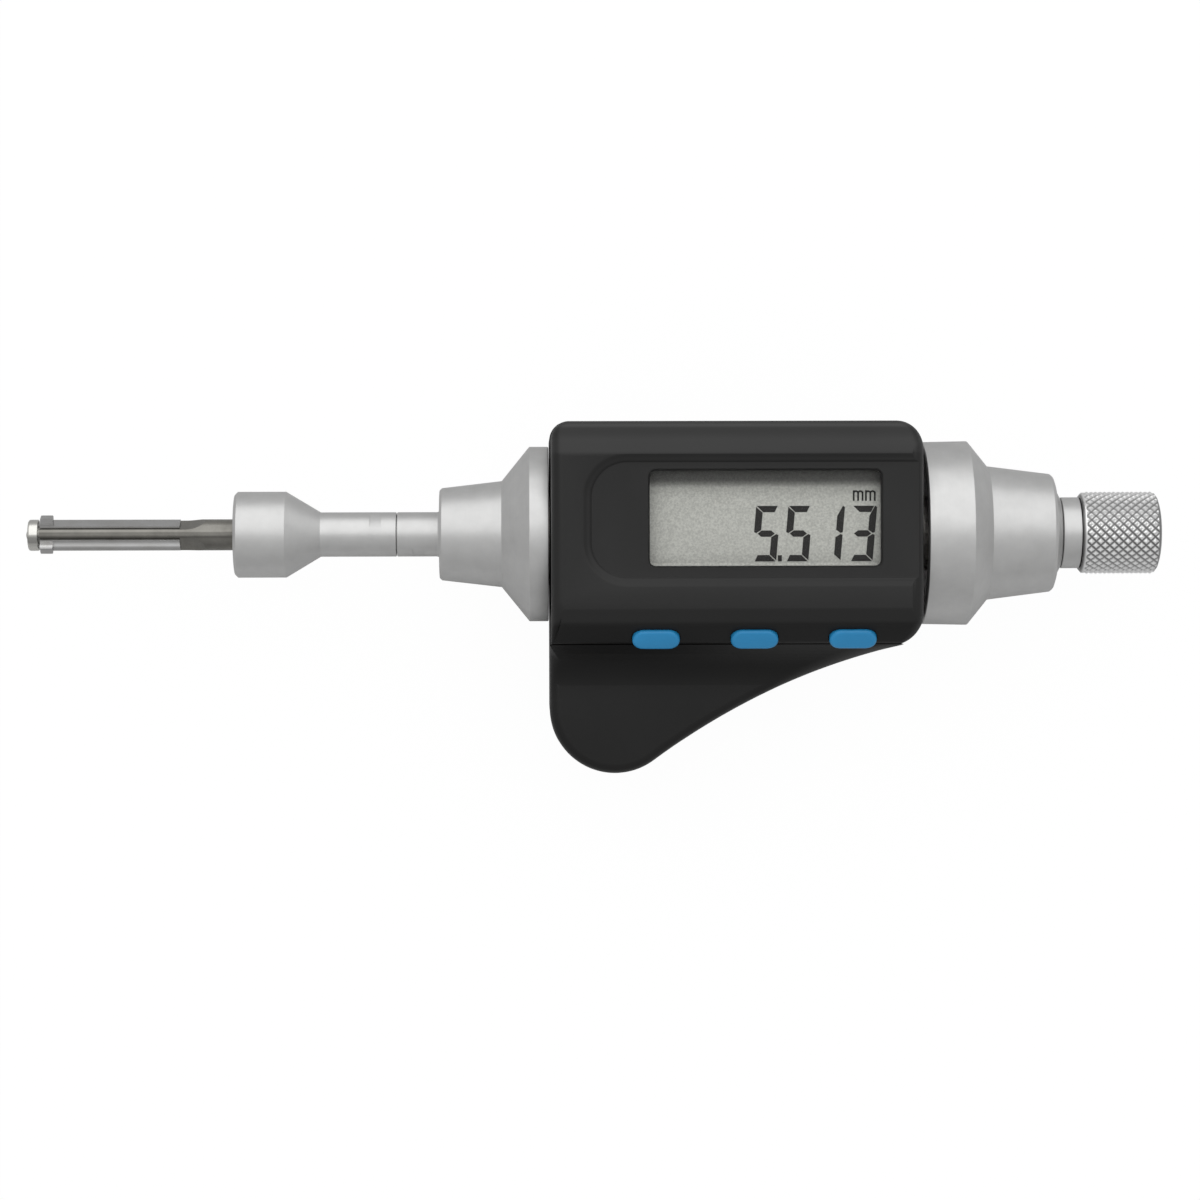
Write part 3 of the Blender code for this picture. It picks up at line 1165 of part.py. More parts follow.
def display():
    """Lens, liquid crystal panel, its frame, its connector strips and the board."""
    width = WINDOW_WIDTH - 2.0 * FIT
    height = WINDOW_HEIGHT - 2.0 * FIT
    flange_low = LENS_FLANGE_TOP - LENS_FLANGE_THICKNESS
    lens = flat("window_lens", rounded_rectangle(
        WINDOW_X, WINDOW_Y, width + 2.0 * LENS_FLANGE, height + 2.0 * LENS_FLANGE, WINDOW_R),
        flange_low, LENS_FLANGE_TOP, CLEAR)
    raised = flat("lens_raised", rounded_rectangle(WINDOW_X, WINDOW_Y, width, height, WINDOW_R - FIT),
                  flange_low + 0.3, LENS_TOP, None, CUTTERS)
    add(lens, raised)
    lcd_low = LCD_TOP - LCD_THICKNESS
    box("lcd_panel", (LCD_WIDTH, LCD_HEIGHT, LCD_THICKNESS),
        (WINDOW_X, WINDOW_Y, (LCD_TOP + lcd_low) / 2.0), LCD_GREY)
    frame_low = BOARD_TOP + FIT
    inner = (LCD_WIDTH + 2.0 * FIT, LCD_HEIGHT + 2.0 * FIT)
    outer = (inner[0] + 2.0 * FRAME_WALL, inner[1] + 2.0 * FRAME_WALL)
    middle = (WINDOW_X, WINDOW_Y, (LCD_TOP + frame_low) / 2.0)
    frame = box("lcd_frame", (*outer, LCD_TOP - frame_low), middle, WHITE_PLASTIC)
    cut(frame, box("lcd_opening", (*inner, 2.0 * (LCD_TOP - frame_low)), middle, None, CUTTERS))
    strip_top = lcd_low - FIT
    strip_low = BOARD_TOP + FIT
    offset = LCD_HEIGHT / 2.0 - STRIP_DEPTH / 2.0
    for name, side in (("connector_strip_top", 1.0), ("connector_strip_bottom", -1.0)):
        box(name, (LCD_WIDTH, STRIP_DEPTH, strip_top - strip_low),
            (WINDOW_X, WINDOW_Y + side * offset, (strip_top + strip_low) / 2.0), RUBBER)
    board = flat("circuit_board", rounded_rectangle(
        0.0, WINDOW_Y, BOARD_WIDTH, BOARD_DEPTH, 1.0, 2), BOARD_TOP - BOARD_THICKNESS, BOARD_TOP,
        BOARD_GREEN)
    chip_top = BOARD_TOP - BOARD_THICKNESS - FIT
    box("processor_chip", (CHIP_SIZE, CHIP_SIZE, CHIP_THICKNESS),
        (BUTTON_MIDDLE + 3.0, 0.0, chip_top - CHIP_THICKNESS / 2.0), DARK_PLASTIC)
    return board


def battery():
    """Coin cell, its contacts, the bayonet cap with its coin slot and the cap's seal."""
    outline = [(CELL_BOTTOM + FIT, 0.0), (CELL_BOTTOM + FIT, CELL_R - CELL_EDGE)]
    outline += [(CELL_BOTTOM + FIT + CELL_EDGE, CELL_R), (CELL_TOP - CELL_EDGE, CELL_R)]
    outline += [(CELL_TOP, CELL_R - CELL_EDGE), (CELL_TOP, 0.0)]
    upright(turned("coin_cell", outline, GROUND_STEEL, ROUND), CELL_X, CELL_Y)
    box("battery_contact_minus", (LEAF_LENGTH, LEAF_WIDTH, LEAF_THICKNESS),
        (CELL_X, CELL_Y, CELL_TOP + LEAF_THICKNESS), BRASS)
    box("battery_contact_plus", (2.6, 0.4, CELL_THICKNESS - 0.4),
        (CELL_X, CELL_Y + CELL_R + 0.35, (CELL_BOTTOM + CELL_TOP) / 2.0), BRASS)
    cap_top = CAP_INSET + CAP_THICKNESS
    cap = [(CAP_INSET, 0.0), (CAP_INSET, CAP_R - CAP_EDGE), (CAP_INSET + CAP_EDGE, CAP_R)]
    cap += [(cap_top, CAP_R), (cap_top, 0.0)]
    cover = upright(turned("battery_cover", cap, DARK_PLASTIC, ROUND), CELL_X, CELL_Y)
    lug_middle = cap_top - FIT - LUG_THICKNESS / 2.0
    for number, angle in enumerate(LUG_ANGLES):
        turn = math.radians(angle)
        length = LUG_REACH + 1.0
        middle = CAP_R + LUG_REACH - length / 2.0
        lug = box(f"lug_{number}", (length, LUG_WIDTH, LUG_THICKNESS), (0.0, 0.0, 0.0), None, CUTTERS)
        lug.rotation_euler = (0.0, 0.0, turn)
        lug.location = ((CELL_X + middle * math.cos(turn)) * MM,
                        (CELL_Y + middle * math.sin(turn)) * MM, lug_middle * MM)
        add(cover, lug)
    slot = box("coin_slot", (CAP_SLOT_LENGTH, CAP_SLOT_WIDTH, 2.0 * CAP_SLOT_DEPTH),
               (CELL_X, CELL_Y, CAP_INSET), None, CUTTERS)
    cut(cover, slot)
    seal = ring("battery_seal_ring", CELL_R + CELL_PLAY + 0.1, CAP_R - FIT, cap_top + 0.05,
                CELL_BOTTOM - 0.05, RUBBER, ROUND)
    upright(seal, CELL_X, CELL_Y)


def housing_screws():
    """Four screws from the back through both shells."""
    head_top = SCREW_HEAD_INSET + HOUSING_SCREW_HEAD
    outline = [(SCREW_HEAD_INSET, 0.0), (SCREW_HEAD_INSET, HOUSING_SCREW_HEAD_R)]
    outline += [(head_top, HOUSING_SCREW_HEAD_R), (head_top, HOUSING_SCREW_R)]
    outline += [(HOUSING_SCREW_TIP, HOUSING_SCREW_R), (HOUSING_SCREW_TIP, 0.0)]
    for number, (x, y) in enumerate(SCREW_SPOTS, 1):
        screw = upright(turned(f"housing_screw_{number}", outline, GROUND_STEEL, TINY), x, y)
        for turn in (0.0, 90.0):
            slot = box(f"cross_{number}_{int(turn)}", (1.9, 0.45, 1.2), (x, y, SCREW_HEAD_INSET),
                       None, CUTTERS)
            slot.rotation_euler = (0.0, 0.0, math.radians(turn))
            cut(screw, slot)


stem_tube()
nose()
jaws()
cone_rod()
head_body()
coupling_neck()
front_sleeve()
barrel()
spindle()
encoder()
nut_and_sleeve()
thimble()
ratchet_shaft()
ratchet_inside()
ratchet_knob()
rear_housing()
front_cover()
buttons()
display()
battery()
housing_screws()
gasket_ring("housing_gasket", 0.0, PARTING - GASKET_THICKNESS, PARTING + FIT / 2.0, RUBBER, PARTS)

for piece in PARTS.objects:
    if piece.type == "MESH":
        smooth(piece)
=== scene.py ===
"""Looks of the digital inside micrometer: turned metal, moulded housing, display and light.

Lengths are in millimetres unless a name ends in _M. The frame is the model's own: +X runs
along the spindle to the ratchet, +Y is the top edge of the housing, +Z comes out of the
display, and the spindle's axis lies at y = 0, z = AXIS.
"""

import json
import math

import bmesh
import bpy
from mathutils import Matrix, Vector

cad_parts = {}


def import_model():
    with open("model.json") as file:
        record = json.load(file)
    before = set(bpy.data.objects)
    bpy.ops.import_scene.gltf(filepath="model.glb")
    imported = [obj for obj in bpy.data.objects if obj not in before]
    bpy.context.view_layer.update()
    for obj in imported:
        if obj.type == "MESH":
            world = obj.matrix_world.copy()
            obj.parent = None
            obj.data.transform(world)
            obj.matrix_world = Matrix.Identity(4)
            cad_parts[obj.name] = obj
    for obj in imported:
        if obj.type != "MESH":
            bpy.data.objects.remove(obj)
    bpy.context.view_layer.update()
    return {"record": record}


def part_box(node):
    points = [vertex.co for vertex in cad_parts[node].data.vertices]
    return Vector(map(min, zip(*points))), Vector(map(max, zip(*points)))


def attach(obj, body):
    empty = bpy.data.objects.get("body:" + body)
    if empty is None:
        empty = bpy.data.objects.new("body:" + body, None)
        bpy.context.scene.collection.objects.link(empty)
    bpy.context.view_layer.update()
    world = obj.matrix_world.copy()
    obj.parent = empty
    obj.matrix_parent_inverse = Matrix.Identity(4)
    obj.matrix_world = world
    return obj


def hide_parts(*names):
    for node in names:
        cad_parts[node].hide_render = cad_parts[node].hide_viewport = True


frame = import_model()

MM = 0.001
AXIS = 14.0

# Painted light across the object, as (y, level) stops: painted shadows, highlights and reflection bands;
# EVEN paints none
EVEN = [(-1.0, 1.0), (1.0, 1.0)]
# Painted shadow under the display window's upper edge, and a painted highlight along its lower edge
PANEL_PAINTED_SHADOW_AND_HIGHLIGHT = [(-4.5, 1.0), (-4.15, 1.0), (-3.95, 0.77), (4.6, 0.77), (5.6, 0.69), (6.3, 0.6),
               (6.75, 0.32), (7.2, 0.155), (7.45, 0.125), (8.1, 0.13), (8.6, 0.13)]
# Painted shade on the down-facing shelf; painted highlight on the crown and along the top edge's
# rounding; it scales colour and specular
COVER_PAINTED_SHADE_AND_HIGHLIGHT = [(-15.2, 0.345), (-12.7, 0.345), (-11.9, 0.625), (10.9, 0.625), (11.2, 0.77),
               (12.8, 0.79), (13.9, 0.66), (14.4, 0.68), (14.75, 0.98), (15.15, 1.0), (15.36, 0.625)]
# Painted shadow on the lobe under the cover's lower edge, fading further down
LOBE_PAINTED_SHADOW = [(-23.0, 1.0), (-20.3, 0.9), (-18.2, 0.76), (-16.0, 0.72)]
# Painted reflection bands on the stem
STEM_PAINTED_REFLECTION = [(-0.75, 0.8), (-0.55, 0.75), (-0.3, 0.5), (0.0, 0.85), (0.3, 0.6), (0.5, 1.05),
              (0.8, 1.0)]
# Painted reflection bands on the blades and jaws, with a painted highlight band
BLADE_PAINTED_REFLECTION = [(-2.2, 0.5), (-1.85, 0.44), (-1.68, 0.55), (-1.45, 1.0), (-1.2, 0.8), (-0.95, 0.48),
               (-0.8, 0.46), (0.5, 0.5)]
# Painted reflection bands on the nose cap
NOSE_PAINTED_REFLECTION = [(-2.0, 0.8), (-1.3, 0.85), (-1.0, 0.5), (-0.35, 0.5), (0.1, 1.0), (1.2, 1.0), (1.8, 0.75)]

# Steps round a turned piece, and the turn under which a corner stays as it is
FINE = 160
ROUND = 96
STRAIGHT = math.radians(12.0)

# Camera, in the photograph's pixels and real distances
IMAGE = 1200.0
MM_PER_PIXEL = 0.14
ORIGIN_PX = (734.0, 533.9)
EYE_PX = (530.0, 540.0)
EYE_DISTANCE = 540.0
ROLL = -0.157
SENSOR = 36.0

# Measuring head
STEM_R = 2.17
STEM_BORE_R = 1.2
JAW_ANGLES = (24.0, 144.0, 264.0)
FLAT_FLOOR = 1.5
FLAT_CUTTER_R = 6.2
FLAT_LENGTH = 20.3
SLOT_LEFT = -96.34
SLOT_LENGTH = 0.9
SLOT_WIDTH = 1.0
SLOT_FLOOR = 0.4
NOSE_ROUND = 0.34
NOSE_CHAMFER = 0.08
NOSE_FACE = 0.6
NOSE_BORE_R = 0.75
SCREW_HOLE_R = 0.45
SPIGOT_LENGTH = 0.5
COLLAR_R = 6.0
COLLAR_LENGTH = 7.14
COLLAR_CHAMFER = 0.42
HEAD_CONE_LENGTH = 4.83
SEAT_LENGTH = 8.3
SEAT_PLAY = 0.1
ROD_HOLE_R = 1.3
SOCKET_R = 2.4
SOCKET_LENGTH = 9.8
SMALL_CHAMFER = 0.07

# Spanner flats: place along the axis and turn round it
SPANNER_FLOOR = 2.8
SPANNER_HALF = 0.8
SPANNER_REACH = 5.0
HEAD_SPANNER = (-50.1, 44.0)
NECK_SPANNER = (-44.1, -64.0)

# Neck and sleeve of the handle
NECK_R = 3.1
NECK_LENGTH = 5.5
NECK_FILLET = 0.5
TENON_R = 2.3
TENON_LENGTH = 1.3
NECK_BORE_R = 1.6
FLANGE_R = 5.2
FLANGE_LENGTH = 3.0
SLEEVE_HOLE_PLAY = 0.6
SLEEVE_START_R = 6.45
SLEEVE_CHAMFER = 0.33
SLEEVE_TAPER_END = 8.68
SLEEVE_TAPER_R = 7.42
SLEEVE_CONE_END = 12.53
SLEEVE_R = 12.2
SLEEVE_BORE_R = 5.3
SLEEVE_WALL = 2.0
GROOVE_RADII = (8.9, 10.1)
GROOVE_DEPTH = 1.1

# Thimble; its end is (length past the taper, drop from the taper's radius)
THIMBLE_R = 12.87
THIMBLE_RIM_R = 12.75
THIMBLE_MOUTH_R = 11.45
THIMBLE_CHAMFER = 0.25
CYLINDER_LENGTH = 6.45
THIMBLE_CONE_LENGTH = 2.85
TAPER_START_R = 9.36
TAPER_END_R = 8.25
DOME_LENGTH = 1.35
DOME = [(-0.1, 0.0), (0.25, 0.3), (0.45, 0.9), (0.62, 1.95)]
HUB_R = 4.9
HUB_HOLE_R = 2.6
HUB_WALL = 2.0
THIMBLE_BORE_RADII = (7.05, 6.95)

# Ratchet
RATCHET_NECK_R = 4.97
RATCHET_NECK_LENGTH = 2.55
RATCHET_CHAMFER = 0.1
SHAFT_R = 2.2
SHAFT_SEAT = 1.7
SHAFT_CORE_R = 0.5
SHAFT_HOLE_R = 1.0
SHAFT_HOLE_LENGTH = 5.0
KNURL_AROUND = 28
KNURL_SUB = 8
KNURL_PITCH = 1.27
KNOB_R = 5.77
KNURL_DEPTH = 0.42
KNOB_BAND = 0.5
KNOB_BAND_R = 5.62
KNURL_END = 0.3
TIP_LEVEL = 0.96
KNOB_BORE_R = 4.2
KNOB_BORE_LENGTH = 6.2
KNOB_HOLE_R = 2.4
KNOB_RECESS_R = 3.3
KNOB_RECESS_DEPTH = 1.4

# Housing
BODY_LEFT = -25.86
BODY_RIGHT = 25.5
BODY_TOP = 15.6
TOP_LEFT_R = 2.65
TOP_RIGHT_R = 3.9
LOBE_BOTTOM = -33.26
LOBE_R = 9.06
CORNER_R = 4.49
CORNER_UP = 11.15
SWEEP_R = 98.4
COVER_STEP = 0.2
COVER_BOTTOM = -15.2
COVER_ROUND = 1.7
SHELF_TOP = -10.3
SHELF_EASE = 2.1
SHELF_EASE_DROP = 0.75
CROWN_START = 10.8
CROWN_MIDDLE = 13.4
CROWN_SLOPE = 0.34
CROWN_TOP_SLOPE = 0.2
SHELF_TILT = 48.0
RECESS_LEFT = -20.1
RECESS_TOP = 9.7
RECESS_BOTTOM = -5.95
RECESS_R = 4.8
RECESS_DEPTH = 0.6
RECESS_SLOPE = 1.25
WALL = 1.8
FRONT_WALL = 1.2
BLOCK_TOP = -9.5
BARREL_HOLE_R = 5.3
RIM_POCKET = 1.2
RIM_POCKET_R = 13.15
PARTING = 20.0
REAR_ROUND = 1.5
REAR_INSET = 0.02
WINDOW_WIDTH = 31.6
WINDOW_HEIGHT = 13.0
WINDOW_R = 0.8
WINDOW_CHAMFER = 0.28

# Buttons; the edge radii are those of the lower and the upper edge
BUTTONS = ("button_left", "button_middle", "button_right")
BUTTON_DROP = 2.0
BUTTON_LENGTH = 6.5
BUTTON_PROUD = 0.86
BUTTON_TILT = 0.52
BUTTON_DEPTH = 2.3
BUTTON_FALL = 0.32
BUTTON_HEIGHT = 3.25
HOLE_PLAY = 0.12
BUTTON_TURN = 45.0
BUTTON_EDGES = (0.75, 0.3)
BUTTON_FALL_START = 0.4
BUTTON_HOLE = (-3.7, 2.5)
EARS_EXTRA = 1.6
EARS_WIDTH = 2.4
EARS_THICK = 0.55

# Hollow run between the shelf and the lobe
BLEND_GAP = 0.06
BLEND_END = -21.6
BLEND_TOP = 25.0
BLEND_EASE = 0.9
BLEND_SINK = 0.05
BLEND_DEPTH = 2.5
BLEND_STEPS = 14

# Display
DIGIT_HEIGHT = 7.59
DIGIT_WIDTH = 3.36
DIGIT_BOTTOM = -3.83
DIGIT_LEFT = 1.81
DIGIT_PITCH = 4.41
DIGIT_SLANT = math.tan(math.radians(4.9))
BAR_WIDTH = 0.95
BAR_HEIGHT = 0.86
SEGMENT_GAP = 0.07
READING = "5513"
POINT_AFTER = 0
POINT_SIZE = (0.54, 0.84)
SEGMENTS_OF = {"5": "afgcd", "1": "bc", "3": "abgcd"}
POINT_GAP = 0.25
INK_LIFT = 0.01
INK_THICK = 0.03
UNIT_LEFTS = (15.7, 17.38)
UNIT_BOTTOM = 4.42
UNIT_SIZE = 1.46
UNIT_STROKE = 0.25
UNIT_THICK = (0.02, 0.03)

# Floor and light
FLOOR_HALF_M = 12.0
FLOOR_GAP = 0.02
FLOOR_GREY = 0.66
FLOOR_GLOW = 1.04
FLOOR_SHINE = 0.93
WORLD_LEVELS = (0.40, 0.62)
WORLD_UP = (0.0, 0.45, 0.55)
KEY_PLACE_M = (0.0, 0.70, 0.76)
KEY_SIZE_M = (1.8, 1.7)
KEY_POWER = 6.1


def corners(node):
    """A node's lowest and highest corners in millimetres."""
    low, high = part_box(node)
    return [value / MM for value in low], [value / MM for value in high]


def ends(node):
    """Where a node starts and ends along the spindle's axis, in millimetres."""
    low, high = corners(node)
    return low[0], high[0]


def middle_of(node):
    """A node's middle, along the axis and across it, in millimetres."""
    low, high = corners(node)
    return (low[0] + high[0]) / 2.0, (low[1] + high[1]) / 2.0


def node_tree(name):
    """A new material, its tree of nodes and its Principled shader."""
    made = bpy.data.materials.new(name)
    made.use_nodes = True
    tree = made.node_tree
    return made, tree, tree.nodes["Principled BSDF"]


def fill(node, **values):
    """A node with some of its inputs set by name."""
    for key, value in values.items():
        node.inputs[key.replace("_", " ")].default_value = value
    return node


def add_node(tree, kind, **values):
    """A new node with some of its inputs set by name."""
    return fill(tree.nodes.new(kind), **values)


def link(source, target):
    """A link from one node's output to another's input."""
    source.id_data.links.new(source, target)


def noise(tree, place, scale, detail, roughness=0.6):
    """The level of a cloudy pattern at a place."""
    node = add_node(tree, "ShaderNodeTexNoise", Scale=scale, Detail=detail, Roughness=roughness)
    link(place, node.inputs["Vector"])
    return node.outputs["Fac"]


def scaled(tree, level, factor):
    """A level times a number."""
    node = tree.nodes.new("ShaderNodeMath")
    node.operation = "MULTIPLY"
    node.inputs[1].default_value = factor
    link(level, node.inputs[0])
    return node.outputs["Value"]


def spread(colour, share):
    """A colour darker by a share, and brighter by the same share."""
    return [value * (1.0 - share) for value in colour], [value * (1.0 + share) for value in colour]


def object_position(tree):
    """The place on the object, in metres."""
    return add_node(tree, "ShaderNodeTexCoord").outputs["Object"]


def ramp(tree, source, low, high, colour_low, colour_high):
    """A colour that runs from one to another as a value goes between two limits."""
    node = tree.nodes.new("ShaderNodeValToRGB")
    stops = ((low, colour_low), (high, colour_high))
    for element, (place, colour) in zip(node.color_ramp.elements, stops):
        element.position = place
        element.color = (*colour, 1.0)
    link(source, node.inputs["Fac"])
    return node.outputs["Color"]


def along_y(tree, stops):
    """Levels that follow a place's y, straight between (y, level) stops."""
    split = tree.nodes.new("ShaderNodeSeparateXYZ")
    link(object_position(tree), split.inputs["Vector"])
    low = stops[0][0]
    high = stops[-1][0]
    share = add_node(tree, "ShaderNodeMapRange", From_Min=low * MM, From_Max=high * MM)
    link(split.outputs["Y"], share.inputs["Value"])
    node = tree.nodes.new("ShaderNodeValToRGB")
    for y, level in stops[1:-1]:
        node.color_ramp.elements.new((y - low) / (high - low))
    for element, (y, level) in zip(node.color_ramp.elements, stops):
        element.color = (level, level, level, 1.0)
    link(share.outputs["Result"], node.inputs["Fac"])
    return node.outputs["Color"]


def times(tree, colour, level):
    """One colour multiplied by another."""
    mix = add_node(tree, "ShaderNodeMix", Factor=1.0)
    mix.data_type = "RGBA"
    mix.blend_type = "MULTIPLY"
    link(colour, mix.inputs[6])
    link(level, mix.inputs[7])
    return mix.outputs[2]


def bump(tree, shader, height, strength, distance):
    """Fine relief on a surface."""
    node = add_node(tree, "ShaderNodeBump", Strength=strength, Distance=distance)
    link(height, node.inputs["Height"])
    link(node.outputs["Normal"], shader.inputs["Normal"])


def turned_metal(name, colour, roughness, ring_size, strength, mottle=0.04, stops=None):
    """Metal with the fine rings that a lathe leaves, or with streaks along its length and painted
    reflection bands along y where stops are given.
    """
    made, tree, shader = node_tree(name)
    fill(shader, Metallic=1.0)
    place = object_position(tree)
    fine = 1.0 / (ring_size * MM)
    scale = (90.0, fine, fine) if stops else (fine, 60.0, 60.0)
    stretch = add_node(tree, "ShaderNodeMapping", Scale=scale)
    link(place, stretch.inputs["Vector"])
    rings = noise(tree, stretch.outputs["Vector"], scale=1.0, detail=3.0)
    cloud = noise(tree, place, scale=420.0, detail=4.0)
    dull, bright = spread(colour, mottle)
    clouded = ramp(tree, cloud, 0.3, 0.7, dull, [min(value, 1.0) for value in bright])
    # Painted reflection bands: the colour darker and lighter along y as the stops say
    if stops:
        clouded = times(tree, clouded, along_y(tree, stops))
    link(clouded, shader.inputs["Base Color"])
    smooth, rough = spread((roughness,) * 3, 0.12)
    link(ramp(tree, rings, 0.3, 0.7, smooth, rough), shader.inputs["Roughness"])
    bump(tree, shader, rings, strength, 0.02 * MM)
    return made


def moulded(name, colour, roughness, grain, strength, specular=0.5, stops=EVEN):
    """Moulded plastic with a fine spark-eroded grain, with painted shade and highlight where the stops
    say.
    """
    made, tree, shader = node_tree(name)
    # Painted shade and highlight: a level along y that scales both the specular and the colour
    level = along_y(tree, stops)
    link(scaled(tree, level, specular), shader.inputs["Specular IOR Level"])
    place = object_position(tree)
    fine = noise(tree, place, scale=1.0 / (grain * MM), detail=4.0, roughness=0.7)
    wide = noise(tree, place, scale=90.0, detail=3.0, roughness=0.5)
    clouded = ramp(tree, wide, 0.3, 0.7, *spread(colour, 0.1))
    link(times(tree, clouded, level), shader.inputs["Base Color"])
    link(ramp(tree, fine, 0.3, 0.7, *spread((roughness,) * 3, 0.1)), shader.inputs["Roughness"])
    bump(tree, shader, fine, strength, 0.03 * MM)
    return made


def shaded_panel(colour):
    """The display's grey, grained, with a painted shadow under the window's upper edge and a painted
    highlight along its lower edge.
    """
    made, tree, shader = node_tree("lcd_grey")
    fill(shader, Roughness=0.5)
    grain = noise(tree, object_position(tree), scale=3600.0, detail=2.0)
    speckled = ramp(tree, grain, 0.35, 0.65, *spread(colour, 0.15))
    # Painted shadow at the window's upper edge, painted highlight at its lower edge
    link(times(tree, speckled, along_y(tree, PANEL_PAINTED_SHADOW_AND_HIGHLIGHT)), shader.inputs["Base Color"])
    return made


def plain(name, colour, roughness, metallic=0.0):
    """A small or hidden piece's material, with a slight unevenness."""
    made, tree, shader = node_tree(name)
    fill(shader, Metallic=metallic, Roughness=roughness)
    cloud = noise(tree, object_position(tree), scale=600.0, detail=3.0)
    dull = [value * 0.93 for value in colour]
    link(ramp(tree, cloud, 0.35, 0.65, dull, colour), shader.inputs["Base Color"])
    return made


# The last argument paints light along y: reflection bands on stem, blades and nose, shade and highlight
# on cover and lobe
SATIN = turned_metal("satin_chrome", (0.66, 0.66, 0.655), 0.42, 0.05, 0.25)
STEEL = turned_metal("ground_steel", (0.50, 0.485, 0.46), 0.2, 0.08, 0.35, 0.08)
STEM = turned_metal("stem_steel", (0.27, 0.262, 0.24), 0.3, 0.06, 0.5, 0.16, STEM_PAINTED_REFLECTION)
BLADE = turned_metal("blade_steel", (0.96, 0.95, 0.93), 0.3, 0.06, 0.5, 0.08, BLADE_PAINTED_REFLECTION)
NOSE = turned_metal("nose_steel", (0.78, 0.77, 0.73), 0.22, 0.08, 0.35, 0.08, NOSE_PAINTED_REFLECTION)
PLASTIC = moulded("dark_plastic", (0.0184, 0.0184, 0.0181), 0.38, 0.09, 0.35, 0.608, COVER_PAINTED_SHADE_AND_HIGHLIGHT)
REAR = moulded("rear_plastic", (0.009, 0.009, 0.0088), 0.34, 0.09, 0.3, 0.3, LOBE_PAINTED_SHADOW)
BLUE = moulded("blue_plastic", (0.0225, 0.30, 0.63), 0.4, 0.12, 0.2)
# The panel's grey is this colour at level 0.77; the painted highlight along the lower edge lifts it to
# full
LCD = shaded_panel((0.86, 0.87, 0.805))
INK = plain("lcd_ink", (0.013, 0.012, 0.011), 0.5)
BRASS = plain("brass", (0.72, 0.53, 0.25), 0.3, 1.0)
RUBBER = plain("rubber", (0.016, 0.016, 0.016), 0.75)
WHITE = plain("white_plastic", (0.72, 0.72, 0.69), 0.5)
BOARD = plain("board_green", (0.03, 0.15, 0.07), 0.45)


def clear_window():
    """The window: nearly clear, with a glossy face."""
    made, tree, shader = node_tree("clear_window")
    fill(shader, Base_Color=(0.02, 0.02, 0.02, 1.0), Alpha=0.05)
    cloud = noise(tree, object_position(tree), scale=300.0, detail=2.0, roughness=0.5)
    link(ramp(tree, cloud, 0.3, 0.7, (0.05,) * 3, (0.09,) * 3), shader.inputs["Roughness"])
    return made


CLEAR = clear_window()

SLOT_LOOKS = dict(satin_chrome=SATIN, ground_steel=STEEL, brass=BRASS, dark_plastic=PLASTIC,
                  blue_plastic=BLUE, white_plastic=WHITE, rubber=RUBBER, clear_window=CLEAR,
                  lcd_grey=LCD, board_green=BOARD)
SLOT_OF = {part["node"]: part["material_slot"] for part in frame["record"]["subparts"]}
BODY_OF = {node: body for body, nodes in frame["record"]["behaviour"]["bodies"].items()
           for node in nodes}


def dress_nodes():
    """Every node of the model gets the material of its slot."""
    for name, slot in SLOT_OF.items():
        mesh = bpy.data.objects[name].data
        look = BLADE if name.startswith("jaw_") else SLOT_LOOKS[slot]
        mesh.materials.clear()
        mesh.materials.append(look)


def placed(name, data):
    """A new object in the scene."""
    made = bpy.data.objects.new(name, data)
    bpy.context.scene.collection.objects.link(made)
    return made


def put(name, mesh, look, body, hides=(), angle=32.0):
    """A mesh made a piece that rides on a body, smooth but for edges over an angle."""
    mesh.materials.clear()
    mesh.materials.append(look)
    mesh.shade_smooth()
    mesh.set_sharp_from_angle(angle=math.radians(angle))
    made = placed(name, mesh)
    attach(made, body)
    for node in hides:
        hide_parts(node)


def stand_in(node, mesh, look=None, angle=32.0):
    """A finer mesh for a node, on the node's own body."""
    slot = SLOT_OF[node]
    put(node + "_fine", mesh, look or SLOT_LOOKS[slot], BODY_OF[node], (node,), angle)


def oblong(left, low, right, high):
    """A rectangle's corners."""
    return [(left, low), (right, low), (right, high), (left, high)]


def arc(x, y, radius, start, end, steps):
    """Points of an arc, angles in degrees."""
    turns = [math.radians(start + (end - start) * i / steps) for i in range(steps + 1)]
    return [(x + radius * math.cos(turn), y + radius * math.sin(turn)) for turn in turns]


def eased(outline, radius, steps=3, closed=True):
    """Corners of an outline made round, within a third of the sides that meet there."""
    points = []
    count = len(outline)
    for i, place in enumerate(outline):
        corner = Vector(place)
        before = Vector(outline[i - 1]) - corner
        after = Vector(outline[(i + 1) % count]) - corner
        turn = before.angle(after)
        at_end = not closed and i in (0, count - 1)
        if at_end or math.pi - turn < STRAIGHT:
            points.append(place)
            continue
        cut = min(radius / math.tan(turn / 2.0), before.length / 3.0, after.length / 3.0)
        start = corner + before.normalized() * cut
        end = corner + after.normalized() * cut
        for step in range(steps + 1):
            share = step / steps
            point = start * (1.0 - share) ** 2 + corner * 2.0 * share * (1.0 - share)
            point += end * share ** 2
            points.append((point.x, point.y))
    return points


def as_mesh(shape, name):
    """The mesh of a shape that is done with."""
    mesh = bpy.data.meshes.new(name)
    shape.to_mesh(mesh)
    shape.free()
    return mesh


def finished(shape, name):
    """The mesh of a shape that is done with, its faces turned outwards."""
    bmesh.ops.recalc_face_normals(shape, faces=shape.faces)
    return as_mesh(shape, name)


def skin(shape, rings):
    """Faces between neighbouring rings of vertices, and one over the first ring."""
    count = len(rings[0])
    for near, far in zip(rings, rings[1:]):
        for i in range(count):
            after = (i + 1) % count
            shape.faces.new([near[i], near[after], far[after], far[i]])
    shape.faces.new(list(reversed(rings[0])))


